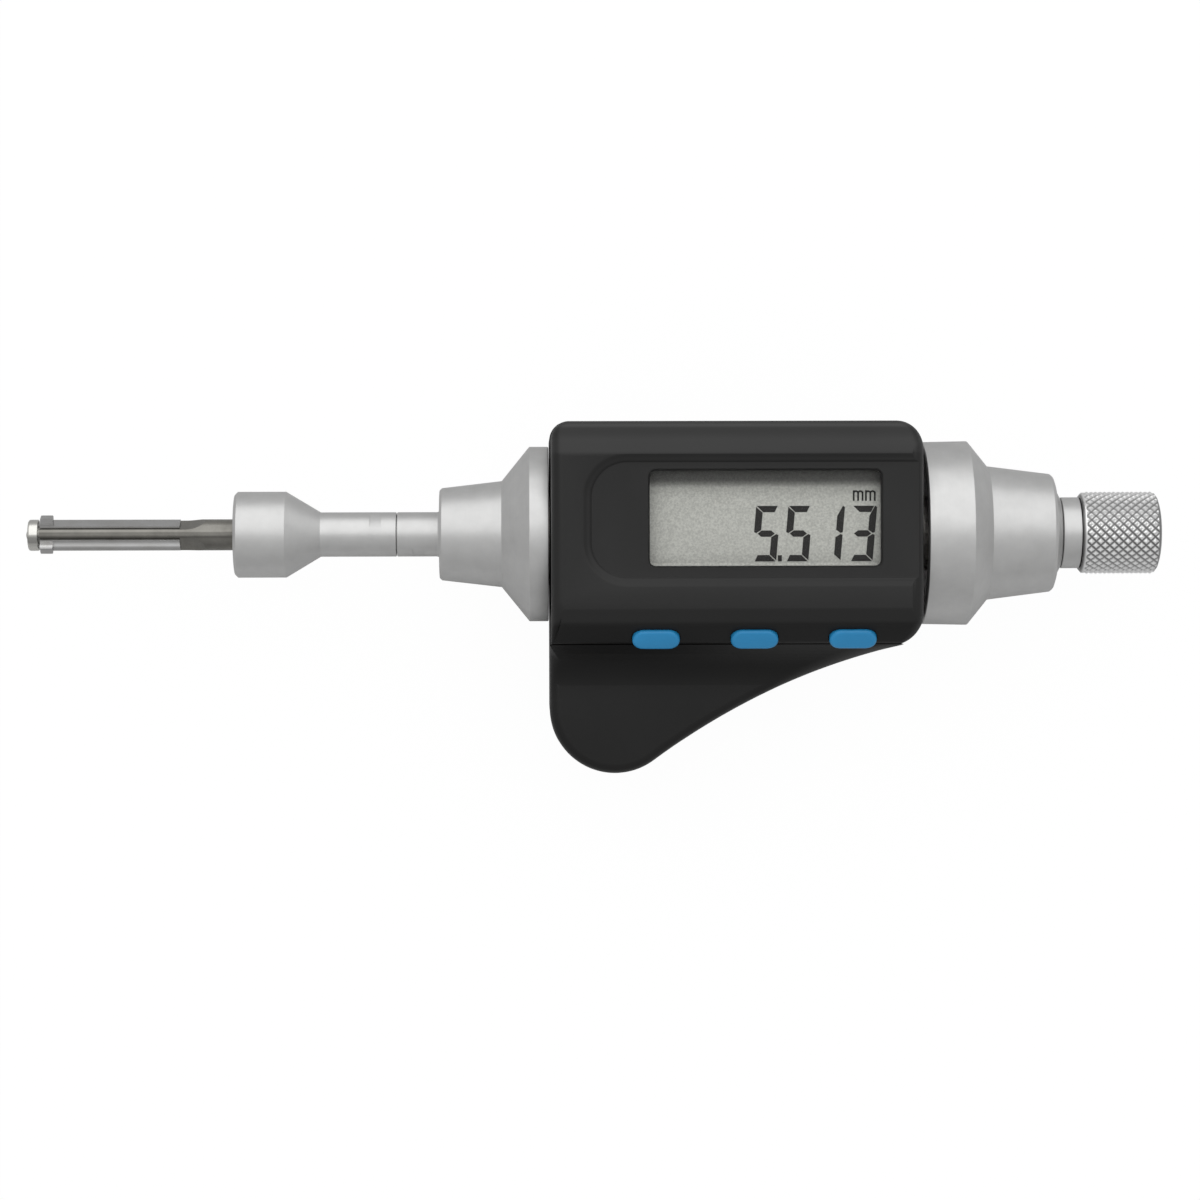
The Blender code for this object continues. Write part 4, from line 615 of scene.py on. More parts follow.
def vertex(shape, x, y, z):
    """A new vertex at a place in millimetres."""
    return shape.verts.new((x * MM, y * MM, z * MM))


def loft(rings, name):
    """A closed solid between rings of (x, y, z) places with as many points."""
    shape = bmesh.new()
    made = [[vertex(shape, *place) for place in ring] for ring in rings]
    skin(shape, made)
    shape.faces.new(made[-1])
    return finished(shape, name)


def layers(rings):
    """A closed solid between outlines with as many points, one over the other."""
    return loft([[(x, y, height) for x, y in outline] for outline, height in rings], "layers")


def lathe(outline, steps=FINE):
    """A solid of revolution about the spindle's axis, from (x, radius) points."""
    shape = bmesh.new()
    circles = []
    for x, radius in outline:
        if radius == 0.0:
            circles.append([vertex(shape, x, 0.0, AXIS)])
            continue
        circle = []
        for step in range(steps):
            turn = 2.0 * math.pi * step / steps
            across = radius * math.sin(turn)
            circle.append(vertex(shape, x, across, AXIS + radius * math.cos(turn)))
        circles.append(circle)
    for near, far in zip(circles, circles[1:] + circles[:1]):
        if len(near) == len(far) == 1:
            continue
        for step in range(steps):
            after = (step + 1) % steps
            if len(near) == 1:
                shape.faces.new([near[0], far[step], far[after]])
            elif len(far) == 1:
                shape.faces.new([near[step], far[0], near[after]])
            else:
                shape.faces.new([near[step], far[step], far[after], near[after]])
    return finished(shape, "lathe")


def prism(outline, low, high):
    """An outline of (x, y) points given a depth along Z, as a mesh."""
    shape = bmesh.new()
    face = shape.faces.new([vertex(shape, x, y, low) for x, y in outline])
    grown = bmesh.ops.extrude_face_region(shape, geom=[face])
    lifted = [item for item in grown["geom"] if isinstance(item, bmesh.types.BMVert)]
    bmesh.ops.translate(shape, verts=lifted, vec=(0.0, 0.0, (high - low) * MM))
    return finished(shape, "prism")


def around_axis(mesh, angle):
    """A mesh drawn over the axis as (x, height), turned round the axis to an angle."""
    mesh.transform(Matrix.Rotation(math.radians(angle), 4, "X"))
    mesh.transform(Matrix.Translation((0.0, 0.0, AXIS * MM)))
    return mesh


def along_profile(profile, place):
    """Height of a profile at a place, straight between its points."""
    for (near, low), (far, high) in zip(profile, profile[1:]):
        if place <= far:
            share = max((place - near) / (far - near), 0.0)
            return low + share * (high - low)
    return profile[-1][1]


def carve(mesh, cutters, operation="DIFFERENCE"):
    """Cutters taken out of a mesh, joined to it or met with it."""
    base = placed("base", mesh)
    helpers = [placed("cutter", cutter) for cutter in cutters]
    for helper in helpers:
        step = base.modifiers.new("step", "BOOLEAN")
        step.operation = operation
        step.solver = "EXACT"
        step.object = helper
    depsgraph = bpy.context.evaluated_depsgraph_get()
    result = bpy.data.meshes.new_from_object(base.evaluated_get(depsgraph))
    for helper in [base] + helpers:
        bpy.data.objects.remove(helper)
    return result


dress_nodes()


def fine_stem():
    """Stem with its three long milled flats, their run-outs and the slots for the feet."""
    left, right = ends("stem_tube")
    outline = [(left, STEM_BORE_R), (left, STEM_R), (right, STEM_R), (right, STEM_BORE_R)]
    top = STEM_R + 1.0
    runout = math.degrees(math.acos(1.0 - (top - FLAT_FLOOR) / FLAT_CUTTER_R))
    flat = [(left - 1.0, top), (left - 1.0, FLAT_FLOOR)]
    flat += arc(left + FLAT_LENGTH, FLAT_FLOOR + FLAT_CUTTER_R, FLAT_CUTTER_R, -90.0, -90.0 + runout, 16)
    slot = oblong(SLOT_LEFT, SLOT_FLOOR, SLOT_LEFT + SLOT_LENGTH, top)
    cutters = []
    for angle in JAW_ANGLES:
        for shape, width in ((flat, 2.0 * STEM_R), (slot, SLOT_WIDTH)):
            cutters.append(around_axis(prism(shape, -width / 2.0, width / 2.0), angle))
    tube = lathe(eased(outline, 0.06, 2), ROUND)
    stand_in("stem_tube", carve(tube, cutters), STEM, 25.0)


def fine_nose():
    """Nose cap with its round edge, and the hole for its screw."""
    left, spigot = ends("nose_cap")
    right = spigot - SPIGOT_LENGTH
    spigot_r = STEM_BORE_R - 0.1
    face = left + NOSE_FACE
    outline = arc(left + NOSE_ROUND, STEM_R - NOSE_ROUND, NOSE_ROUND, 180.0, 90.0, 8)
    outline += [(right - NOSE_CHAMFER, STEM_R), (right, STEM_R - NOSE_CHAMFER), (right, spigot_r)]
    outline += [(spigot, spigot_r), (spigot, NOSE_BORE_R), (face, NOSE_BORE_R)]
    outline += [(face, SCREW_HOLE_R), (left, SCREW_HOLE_R)]
    stand_in("nose_cap", lathe(outline, ROUND), NOSE)


def spanner_flats(x, turn):
    """Cutters for the two opposite flats that a spanner holds."""
    shape = oblong(x - SPANNER_HALF, SPANNER_FLOOR, x + SPANNER_HALF, SPANNER_REACH)
    return [around_axis(prism(shape, -SPANNER_REACH, SPANNER_REACH), 90.0 - side)
            for side in (turn, turn + 180.0)]


def fine_head():
    """Collar, cone and neck of the head, with its spanner flats."""
    left, right = ends("head_body")
    collar = left + COLLAR_LENGTH
    seat = left + SEAT_LENGTH
    socket = right - SOCKET_LENGTH
    seat_r = STEM_R + SEAT_PLAY
    outline = [(left, seat_r), (left, COLLAR_R - COLLAR_CHAMFER), (left + COLLAR_CHAMFER, COLLAR_R)]
    outline += [(collar, COLLAR_R), (collar + HEAD_CONE_LENGTH, NECK_R)]
    outline += [(right - SMALL_CHAMFER, NECK_R), (right, NECK_R - SMALL_CHAMFER), (right, SOCKET_R)]
    outline += [(socket, SOCKET_R), (socket, ROD_HOLE_R), (seat, ROD_HOLE_R), (seat, seat_r)]
    stand_in("head_body", carve(lathe(eased(outline, 0.07)), spanner_flats(*HEAD_SPANNER)))


def fine_neck():
    """Neck of the handle with its fillet and flats."""
    left, right = ends("coupling_neck")
    neck = left + TENON_LENGTH
    flange = right - FLANGE_LENGTH
    foot_r = NECK_R + NECK_FILLET
    outline = [(left, NECK_BORE_R), (left, TENON_R), (neck, TENON_R), (neck, NECK_R - SMALL_CHAMFER)]
    outline += [(neck + SMALL_CHAMFER, NECK_R)]
    outline += arc(neck + NECK_LENGTH, foot_r, NECK_FILLET, -90.0, 0.0, 8)
    outline += [(flange, foot_r), (flange, FLANGE_R), (right, FLANGE_R), (right, NECK_BORE_R)]
    stand_in("coupling_neck", carve(lathe(outline), spanner_flats(*NECK_SPANNER)))


def fine_sleeve():
    """Sleeve that steps out from the neck to the housing, with a groove for the seal ring."""
    left, right = ends("front_sleeve")
    groove = right - GROOVE_DEPTH
    groove_low, groove_high = GROOVE_RADII
    wall = left + SLEEVE_WALL
    hole_r = NECK_R + SLEEVE_HOLE_PLAY
    outline = [(left, hole_r), (left, SLEEVE_START_R - SLEEVE_CHAMFER)]
    outline += [(left + SLEEVE_CHAMFER, SLEEVE_START_R), (left + SLEEVE_TAPER_END, SLEEVE_TAPER_R)]
    outline += [(left + SLEEVE_CONE_END, SLEEVE_R), (right, SLEEVE_R), (right, groove_high)]
    outline += [(groove, groove_high), (groove, groove_low), (right, groove_low)]
    outline += [(right, SLEEVE_BORE_R), (wall, SLEEVE_BORE_R), (wall, hole_r)]
    stand_in("front_sleeve", lathe(eased(outline, 0.18)))


def fine_thimble():
    """Thimble: rim, cylinder, cone, long taper and domed end."""
    left, right = ends("thimble")
    cylinder = left + CYLINDER_LENGTH
    taper = right - DOME_LENGTH
    wall = right - HUB_WALL
    bore_left, bore_right = THIMBLE_BORE_RADII
    outline = [(left, THIMBLE_MOUTH_R), (left, THIMBLE_RIM_R - THIMBLE_CHAMFER)]
    outline += [(left + THIMBLE_CHAMFER, THIMBLE_RIM_R), (cylinder, THIMBLE_R)]
    outline += [(cylinder + THIMBLE_CONE_LENGTH, TAPER_START_R)]
    outline += [(taper + run, TAPER_END_R - drop) for run, drop in DOME]
    outline += [(right, HUB_R), (right, HUB_HOLE_R), (wall, HUB_HOLE_R), (wall, bore_right)]
    outline += [(cylinder, bore_left), (cylinder - THIMBLE_CONE_LENGTH, THIMBLE_MOUTH_R)]
    stand_in("thimble", lathe(eased(outline, 0.2)))


def fine_ratchet_neck():
    """Short neck between the thimble and the knob, on the shaft that goes into the knob."""
    left, right = ends("ratchet_shaft")
    shoulder = left + RATCHET_NECK_LENGTH
    seat = left + SHAFT_SEAT
    hole = right - SHAFT_HOLE_LENGTH
    outline = [(left, SHAFT_R), (left, RATCHET_NECK_R - RATCHET_CHAMFER)]
    outline += [(left + RATCHET_CHAMFER, RATCHET_NECK_R), (shoulder, RATCHET_NECK_R)]
    outline += [(shoulder, SHAFT_R), (right, SHAFT_R), (right, SHAFT_HOLE_R), (hole, SHAFT_HOLE_R)]
    outline += [(hole, SHAFT_CORE_R), (seat, SHAFT_CORE_R), (seat, SHAFT_R)]
    stand_in("ratchet_shaft", lathe(eased(outline, 0.06), ROUND))


def knurled_metal():
    """Bright metal with painted shade down in the grooves of the knurl."""
    made, tree, shader = node_tree("knurled_metal")
    fill(shader, Metallic=1.0, Roughness=0.18)
    centred = add_node(tree, "ShaderNodeMapping", Location=(0.0, 0.0, -AXIS * MM), Scale=(0.0, 1.0, 1.0))
    link(object_position(tree), centred.inputs["Vector"])
    reach = tree.nodes.new("ShaderNodeVectorMath")
    reach.operation = "LENGTH"
    link(centred.outputs["Vector"], reach.inputs[0])
    depth = add_node(tree, "ShaderNodeMapRange", From_Min=(KNOB_R - KNURL_DEPTH) * MM,
                     From_Max=KNOB_R * MM)
    link(reach.outputs["Value"], depth.inputs["Value"])
    # Painted shade: the colour darkens with depth below the knurl's tips
    colour = ramp(tree, depth.outputs["Result"], 0.0, 0.5, (0.25,) * 3, (1.0,) * 3)
    link(colour, shader.inputs["Base Color"])
    return made


def knurl_height(around, along):
    """Height of a diamond knurl, 0 in the grooves to 1 on the worn tips."""
    tips = []
    for value in (around + along, around - along):
        tips.append(1.0 - abs(2.0 * (value % 1.0) - 1.0))
    return min(min(tips), TIP_LEVEL) / TIP_LEVEL


def fine_knob():
    """Knob with its diamond knurl, chamfers and the recess for the screw."""
    left, right = ends("ratchet_knob")
    start = left + KNOB_BAND
    end = right - KNURL_END
    rows = round((end - start) / KNURL_PITCH * KNURL_SUB)
    columns = KNURL_AROUND * KNURL_SUB
    valley = KNOB_R - KNURL_DEPTH
    round_end = [(start, KNOB_BAND_R), (start + 0.12, KNOB_R), (right - 0.95, KNOB_R)]
    round_end += [(right - 0.65, 5.6), (end, 5.1)]
    shape = bmesh.new()
    circles = []
    for row in range(rows + 1):
        x = start + (end - start) * row / rows
        along = row / KNURL_SUB
        radii = [valley + KNURL_DEPTH * knurl_height(column / KNURL_SUB, along)
                 for column in range(columns)]
        limit = along_profile(round_end, x)
        circles.append([(x, min(radius, limit)) for radius in radii])
    recess = right - KNOB_RECESS_DEPTH
    bore = left + KNOB_BORE_LENGTH
    plain_rings = [(right - 0.1, 4.5), (right, 4.1), (right, KNOB_RECESS_R + 0.05)]
    plain_rings += [(right - 0.05, KNOB_RECESS_R), (recess, KNOB_RECESS_R), (recess, KNOB_HOLE_R)]
    plain_rings += [(bore, KNOB_HOLE_R), (bore, KNOB_BORE_R), (left, KNOB_BORE_R), (left, 5.2)]
    plain_rings += [(left + 0.06, 5.27), (left + 0.36, KNOB_BAND_R), (start - 0.02, KNOB_BAND_R)]
    circles += [[point] * columns for point in plain_rings]
    verts = []
    for points in circles:
        ring = []
        for column, (x, radius) in enumerate(points):
            turn = 2.0 * math.pi * column / columns
            across = radius * math.cos(turn)
            ring.append(vertex(shape, x, across, AXIS + radius * math.sin(turn)))
        verts.append(ring)
    for row, ring in enumerate(verts):
        other = verts[(row + 1) % len(verts)]
        for column in range(columns):
            after = (column + 1) % columns
            a, b, c, d = ring[column], ring[after], other[after], other[column]
            if row >= rows:
                shape.faces.new([a, b, c, d])
                continue
            middle = (column + 0.5) / KNURL_SUB, (row + 0.5) / KNURL_SUB
            from_sum = abs((middle[0] + middle[1] + 0.5) % 1.0 - 0.5)
            from_difference = abs((middle[0] - middle[1] + 0.5) % 1.0 - 0.5)
            halves = ([a, b, c], [a, c, d]) if from_difference <= from_sum else ([a, b, d], [b, c, d])
            for half in halves:
                shape.faces.new(half)
    stand_in("ratchet_knob", finished(shape, "knob"), knurled_metal(), 20.0)


fine_stem()
fine_nose()
fine_head()
fine_neck()
fine_sleeve()
fine_thimble()
fine_ratchet_neck()
fine_knob()


def body_outline(inset=0.0):
    """Outline of the housing: block, lobe and the sweep between them, moved in evenly."""
    left = BODY_LEFT + inset
    right = BODY_RIGHT - inset
    top = BODY_TOP - inset
    lobe = (BODY_LEFT + LOBE_R, LOBE_BOTTOM + LOBE_R)
    corner = (BODY_RIGHT - CORNER_R, -CORNER_UP)
    reach_a = SWEEP_R + LOBE_R
    reach_b = SWEEP_R + CORNER_R
    across = corner[0] - lobe[0]
    up = corner[1] - lobe[1]
    span = math.hypot(across, up)
    along = (reach_a ** 2 - reach_b ** 2 + span ** 2) / (2.0 * span)
    off = math.sqrt(reach_a ** 2 - along ** 2)
    sweep_x = lobe[0] + (along * across + off * up) / span
    sweep_y = lobe[1] + (along * up - off * across) / span
    to_lobe = math.degrees(math.atan2(lobe[1] - sweep_y, lobe[0] - sweep_x))
    to_corner = math.degrees(math.atan2(corner[1] - sweep_y, corner[0] - sweep_x))
    points = arc(right - TOP_RIGHT_R + inset, top - TOP_RIGHT_R + inset,
                 TOP_RIGHT_R - inset, 0.0, 90.0, 18)
    points += arc(left + TOP_LEFT_R - inset, top - TOP_LEFT_R + inset,
                  TOP_LEFT_R - inset, 90.0, 180.0, 18)
    points += arc(*lobe, LOBE_R - inset, 180.0, to_lobe + 180.0, 60)
    points += arc(sweep_x, sweep_y, SWEEP_R + inset, to_lobe, to_corner, 30)[1:-1]
    points += arc(*corner, CORNER_R - inset, to_corner - 180.0, 0.0, 18)
    return points


def above(points, low):
    """The part of an outline above a height, with a straight lower edge."""
    kept = []
    for (x, y), (next_x, next_y) in zip(points, points[1:] + points[:1]):
        if y >= low:
            kept.append((x, y))
        if (y >= low) != (next_y >= low):
            share = (low - y) / (next_y - y)
            kept.append((x + share * (next_x - x), low))
    return kept


def crossings(points, levels):
    """Where an outline's corners and its crossings of some heights lie: side and share."""
    made = []
    for i, point in enumerate(points):
        y = point[1]
        next_y = points[(i + 1) % len(points)][1]
        made.append((i, 0.0))
        crossed = [level for level in levels if min(y, next_y) < level < max(y, next_y)]
        shares = [(level - y) / (next_y - y) for level in crossed]
        made += [(i, share) for share in sorted(shares) if 0.05 < share < 0.95]
    return made


def part_way(near, far, share):
    """The point that lies a share of the way from one to another."""
    return near[0] + share * (far[0] - near[0]), near[1] + share * (far[1] - near[1])


def at_places(points, places):
    """Points of an outline at some sides and shares along them."""
    return [part_way(points[i], points[(i + 1) % len(points)], share) for i, share in places]


def moved_in(points, distance):
    """Each point of a closed outline moved to the left of its run by a distance."""
    made = []
    count = len(points)
    for i, (x, y) in enumerate(points):
        here = Vector((x, y))
        before = (here - Vector(points[i - 1])).normalized()
        after = (Vector(points[(i + 1) % count]) - here).normalized()
        normal = Vector((-before.y - after.y, before.x + after.x)).normalized()
        stretch = max(normal.dot(Vector((-before.y, before.x))), 0.5)
        place = here + normal * distance / stretch
        made.append((place.x, place.y))
    return made


def cover_profile(front):
    """The cover's section across the spindle: shelf, its eased top, front and crown."""
    shelf_y = SHELF_TOP - SHELF_EASE
    shelf_z = front - SHELF_EASE_DROP
    top = BODY_TOP - COVER_STEP
    steep = math.tan(math.radians(SHELF_TILT))
    points = [(COVER_BOTTOM, shelf_z - (shelf_y - COVER_BOTTOM) * steep), (shelf_y, shelf_z)]
    points += [(SHELF_TOP, front), (CROWN_START, front)]
    points += [(CROWN_MIDDLE, front - (CROWN_MIDDLE - CROWN_START) * CROWN_SLOPE)]
    points += [(top, points[-1][1] - (top - CROWN_MIDDLE) * CROWN_TOP_SLOPE)]
    return eased(points, 1.2, 6, False)


def edge_radius(y):
    """How far the cover's edge is rounded: well at the sides, little at top and bottom."""
    return along_profile([(COVER_BOTTOM, 0.4), (COVER_BOTTOM + 2.2, COVER_ROUND),
                          (BODY_TOP - 2.6, COVER_ROUND), (BODY_TOP - COVER_STEP, 0.9)], y)


def rounded_shell(outline, low, profile, rounding, radius_at):
    """A closed solid under a section along y, its upper edge rounded as the place asks."""
    levels = [y for y, z in profile]
    places = crossings(outline, levels)
    shape = bmesh.new()
    base = at_places(outline, places)
    rings = [[vertex(shape, x, y, low) for x, y in base]]
    steps = 9
    inner = at_places(moved_in(outline, rounding), places)
    radii = [radius_at(y) / rounding for x, y in base]
    for step in range(steps + 1):
        turn = math.radians(90.0 * step / steps)
        ring = []
        for near, far, share in zip(base, inner, radii):
            x, y = part_way(near, far, share * (1.0 - math.cos(turn)))
            drop = share * rounding * (1.0 - math.sin(turn))
            height = along_profile(profile, y) - drop
            ring.append(vertex(shape, x, y, height))
        rings.append(ring)
    skin(shape, rings)
    top = shape.faces.new(rings[-1])
    shape.faces.index_update()
    faces = [top]
    for level in levels[1:-1]:
        edges = list({edge for face in faces for edge in face.edges})
        verts = list({vert for face in faces for vert in face.verts})
        cut = bmesh.ops.bisect_plane(shape, geom=verts + edges + faces, dist=0.000001,
                                     plane_co=(0.0, level * MM, 0.0), plane_no=(0.0, 1.0, 0.0))
        faces = [item for item in cut["geom"] if isinstance(item, bmesh.types.BMFace)]
    for vert in {vert for face in faces for vert in face.verts}:
        vert.co.z = along_profile(profile, vert.co.y / MM) * MM
    bmesh.ops.recalc_face_normals(shape, faces=shape.faces)
    bmesh.ops.triangulate(shape, faces=[face for face in shape.faces if len(face.verts) > 4])
    return finished(shape, "shell")


def rounded_rectangle(x, y, width, height, radius, steps=10):
    """A rectangle with round corners about a centre."""
    across = width / 2.0 - radius
    up = height / 2.0 - radius
    points = []
    for quarter, (side, rise) in enumerate(((1, 1), (-1, 1), (-1, -1), (1, -1))):
        start = 90.0 * quarter
        points += arc(x + side * across, y + rise * up, radius, start, start + 90.0, steps)
    return points


def recess_ring(grow):
    """The recess's outline: round at the left, open at the right edge."""
    right = BODY_RIGHT + 2.0
    left = RECESS_LEFT + RECESS_R
    radius = RECESS_R + grow
    points = [(right, RECESS_TOP + grow)]
    points += arc(left, RECESS_TOP - RECESS_R, radius, 90.0, 180.0, 24)
    points += arc(left, RECESS_BOTTOM + RECESS_R, radius, 180.0, 270.0, 24)
    points += [(right, RECESS_BOTTOM - grow)]
    return points


def recess_cutter(front):
    """Cutter for the recess, with a wall that runs in and out of the faces softly."""
    wall = [(-0.1, 0.0), (0.03, 0.02), (0.12, 0.2), (0.22, 0.36), (0.34, 0.44), (0.5, 0.52)]
    wall += [(0.66, 0.66), (0.82, 0.84), (0.95, 0.96), (1.08, 1.0)]
    rings = []
    for share, rise in wall:
        height = front - RECESS_DEPTH * (1.0 - rise) + 0.001
        rings.append((recess_ring(RECESS_SLOPE * share), height))
    rings.append((recess_ring(RECESS_SLOPE * 1.1), front + 1.0))
    return layers(rings)


def on_shelf(mesh, front, x):
    """A mesh drawn flat, put on the shelf's slope where a button is."""
    y = SHELF_TOP - SHELF_EASE - BUTTON_DROP
    z = front - SHELF_EASE_DROP - BUTTON_DROP
    mesh.transform(Matrix.Rotation(math.radians(BUTTON_TURN), 4, "X"))
    mesh.transform(Matrix.Translation((x * MM, y * MM, z * MM)))
    return mesh


def fine_cover():
    """Front cover with soft edges, recess, window and button holes."""
    low, high = corners("front_cover")
    front = high[2]
    floor = front - RECESS_DEPTH
    window_x, window_y = middle_of("lcd_panel")
    cutters = [recess_cutter(front)]
    opening = []
    for grow, height in ((0.0, floor - 3.0), (0.0, floor - WINDOW_CHAMFER),
                         (WINDOW_CHAMFER, floor + 0.001), (WINDOW_CHAMFER + 0.02, front + 1.0)):
        opening.append((rounded_rectangle(window_x, window_y, WINDOW_WIDTH + 2.0 * grow,
                                          WINDOW_HEIGHT + 2.0 * grow, WINDOW_R + grow), height))
    cutters.append(layers(opening))
    inner_right = BODY_RIGHT - RIM_POCKET - WALL
    inner = oblong(BODY_LEFT + WALL, BLOCK_TOP, inner_right, BODY_TOP - WALL)
    cutters.append(prism(inner, low[2] - 1.0, floor - FRONT_WALL))
    for node in BUTTONS:
        width = BUTTON_LENGTH + 2.0 * HOLE_PLAY
        height = BUTTON_HEIGHT + 2.0 * HOLE_PLAY
        pill = rounded_rectangle(0.0, 0.0, width, height, height / 2.0 - 0.01, 14)
        cutters.append(on_shelf(prism(pill, *BUTTON_HOLE), front, middle_of(node)[0]))
    pocket = BODY_RIGHT - RIM_POCKET
    rim = [(inner_right - 1.0, 0.0), (inner_right - 1.0, BARREL_HOLE_R), (pocket, BARREL_HOLE_R)]
    rim += [(pocket, RIM_POCKET_R), (BODY_RIGHT + 1.0, RIM_POCKET_R), (BODY_RIGHT + 1.0, 0.0)]
    cutters.append(lathe(rim))
    outline = above(body_outline(COVER_STEP), COVER_BOTTOM)
    shell = rounded_shell(outline, low[2], cover_profile(front), COVER_ROUND, edge_radius)
    stand_in("front_cover", carve(shell, cutters), angle=35.0)


def fine_button(node):
    """Push button with round edges and a face that falls away towards the lower edge."""
    front = corners("front_cover")[1][2]
    pill = rounded_rectangle(0.0, 0.0, BUTTON_LENGTH, BUTTON_HEIGHT, BUTTON_HEIGHT / 2.0 - 0.01, 14)
    half = BUTTON_HEIGHT / 2.0
    edge_low, edge_high = BUTTON_EDGES
    turns = [math.radians(turn) for turn in range(0, 91, 15)]
    steps = [(0.0, 0.0)] + [(1.0 - math.cos(turn), math.sin(turn) - 1.0) for turn in turns]
    shape = bmesh.new()
    rings = []
    for number, (inset, rise) in enumerate(steps):
        ring = []
        for x, y in pill:
            edge = along_profile([(-half, edge_low), (half, edge_high)], y)
            shrink = 1.0 - inset * edge / half
            across = x - math.copysign(min(abs(x), BUTTON_LENGTH / 2.0 - half), x)
            place_x = x - across * (1.0 - shrink)
            place_y = y * shrink
            fall = BUTTON_FALL * max(BUTTON_FALL_START - place_y / half, 0.0) ** 2
            height = -BUTTON_DEPTH
            if number > 0:
                height = BUTTON_PROUD - BUTTON_TILT * place_y / half + rise * edge - fall
            ring.append(vertex(shape, place_x, place_y, height))
        rings.append(ring)
    skin(shape, rings)
    count = len(pill)
    top = rings[-1]
    for i in range(count // 2):
        a, b, c, d = top[i], top[i + 1], top[count - 2 - i], top[count - 1 - i]
        if len({a, b, c, d}) == 4:
            shape.faces.new([a, b, c, d])
    bmesh.ops.holes_fill(shape, edges=[edge for edge in shape.edges if edge.is_boundary])
    ears = rounded_rectangle(0.0, 0.0, BUTTON_LENGTH + EARS_EXTRA, EARS_WIDTH, 0.1, 2)
    foot = prism(ears, -BUTTON_DEPTH, -BUTTON_DEPTH + EARS_THICK)
    mesh = carve(finished(shape, node), [foot], "UNION")
    stand_in(node, on_shelf(mesh, front, middle_of(node)[0]))


def fine_rear():
    """Rear housing with a well rounded edge round the lobe's face."""
    outline = body_outline(REAR_INSET)
    inner = moved_in(outline, REAR_ROUND)
    rings = [[(x, y, -1.0) for x, y in outline]]
    fade = [(COVER_BOTTOM - 1.5, 1.0), (COVER_BOTTOM + 1.0, 0.1)]
    for degrees in range(0, 91, 10):
        turn = math.radians(degrees)
        ring = []
        for near, far in zip(outline, inner):
            share = along_profile(fade, near[1])
            x, y = part_way(near, far, share * (1.0 - math.cos(turn)))
            drop = share * REAR_ROUND * (1.0 - math.sin(turn))
            ring.append((x, y, PARTING + REAR_INSET - drop))
        rings.append(ring)
    node = bpy.data.objects["rear_housing"]
    mesh = node.data.copy()
    mesh.transform(node.matrix_world)
    stand_in("rear_housing", carve(mesh, [loft(rings, "limit")], "INTERSECT"), REAR, 25.0)


def shelf_blend():
    """The hollow run from the shelf's lower edge down to the lobe's face."""
    top = COVER_BOTTOM - BLEND_GAP
    lowest = LOBE_BOTTOM + LOBE_R / 2.0
    outline = [(x, -y) for x, y in reversed(above(body_outline(), lowest))]
    outline = [(x, -y) for x, y in reversed(above(outline, -top))]
    foot = PARTING - BLEND_SINK
    profile = [(lowest, foot), (BLEND_END, foot)]
    for step in range(1, BLEND_STEPS + 1):
        share = step / BLEND_STEPS
        rise = share ** 2 * (BLEND_TOP - PARTING)
        profile.append((BLEND_END + share * (top - BLEND_END), foot + rise))

    def radius_at(y):
        return along_profile([(top - BLEND_EASE, REAR_ROUND), (top, 0.0)], y)

    mesh = rounded_shell(outline, PARTING - BLEND_DEPTH, profile, REAR_ROUND, radius_at)
    put("rear_blend", mesh, REAR, "root", angle=40.0)


fine_cover()
fine_rear()
shelf_blend()
for button in BUTTONS:
    fine_button(button)


def segment_shapes():
    """The segments that the reading lights, as outlines in a digit's cell."""
    wide = DIGIT_WIDTH
    tall = DIGIT_HEIGHT
    gap = SEGMENT_GAP
    bar = BAR_WIDTH
    thick = BAR_HEIGHT
    half = thick / 2.0
    mid = tall / 2.0
    top = [(gap, tall), (wide - bar * 0.45, tall), (wide - bar * 0.8, tall - thick)]
    top += [(bar + gap, tall - thick)]
    middle = [(half + gap, mid), (bar + gap, mid + half), (wide - bar - gap, mid + half)]
    middle += [(wide - half - gap, mid), (wide - bar - gap, mid - half), (bar + gap, mid - half)]
    upper_left = [(0.0, mid + half * 0.3 + gap), (0.0, tall - gap * 2.0), (bar, tall - thick - gap)]
    upper_left += [(bar, mid + half + gap), (half * 0.7, mid + gap)]
    upper_right = [(wide, mid + half * 0.3 + gap), (wide - half * 0.7, mid + gap)]
    upper_right += [(wide - bar, mid + half + gap), (wide - bar, tall - thick * 1.6)]
    upper_right += [(wide - bar * 0.3, tall), (wide, tall - half * 0.4)]

    def turned(outline):
        return [(wide - x, tall - y) for x, y in outline]

    return {"a": top, "b": upper_right, "c": turned(upper_left), "d": turned(top),
            "f": upper_left, "g": middle}


def display_piece(name, meshes):
    """Several dark meshes put in one piece of the display."""
    shape = bmesh.new()
    for mesh in meshes:
        shape.from_mesh(mesh)
    put(name, as_mesh(shape, name), INK, "root")


def display_digits():
    """Dark segments of the reading, on the face of the liquid crystal panel."""
    face = corners("lcd_panel")[1][2] + INK_LIFT
    shapes = segment_shapes()
    meshes = []
    for place, digit in enumerate(READING):
        left = DIGIT_LEFT + place * DIGIT_PITCH
        for letter in SEGMENTS_OF[digit]:
            outline = [(left + x + y * DIGIT_SLANT, DIGIT_BOTTOM + y) for x, y in shapes[letter]]
            meshes.append(prism(outline, face, face + INK_THICK))
    point = DIGIT_LEFT + POINT_AFTER * DIGIT_PITCH + DIGIT_WIDTH + POINT_GAP
    across, up = POINT_SIZE
    square = oblong(point, DIGIT_BOTTOM, point + across, DIGIT_BOTTOM + up)
    meshes.append(prism(square, face, face + INK_THICK))
    display_piece("display_digits", meshes)


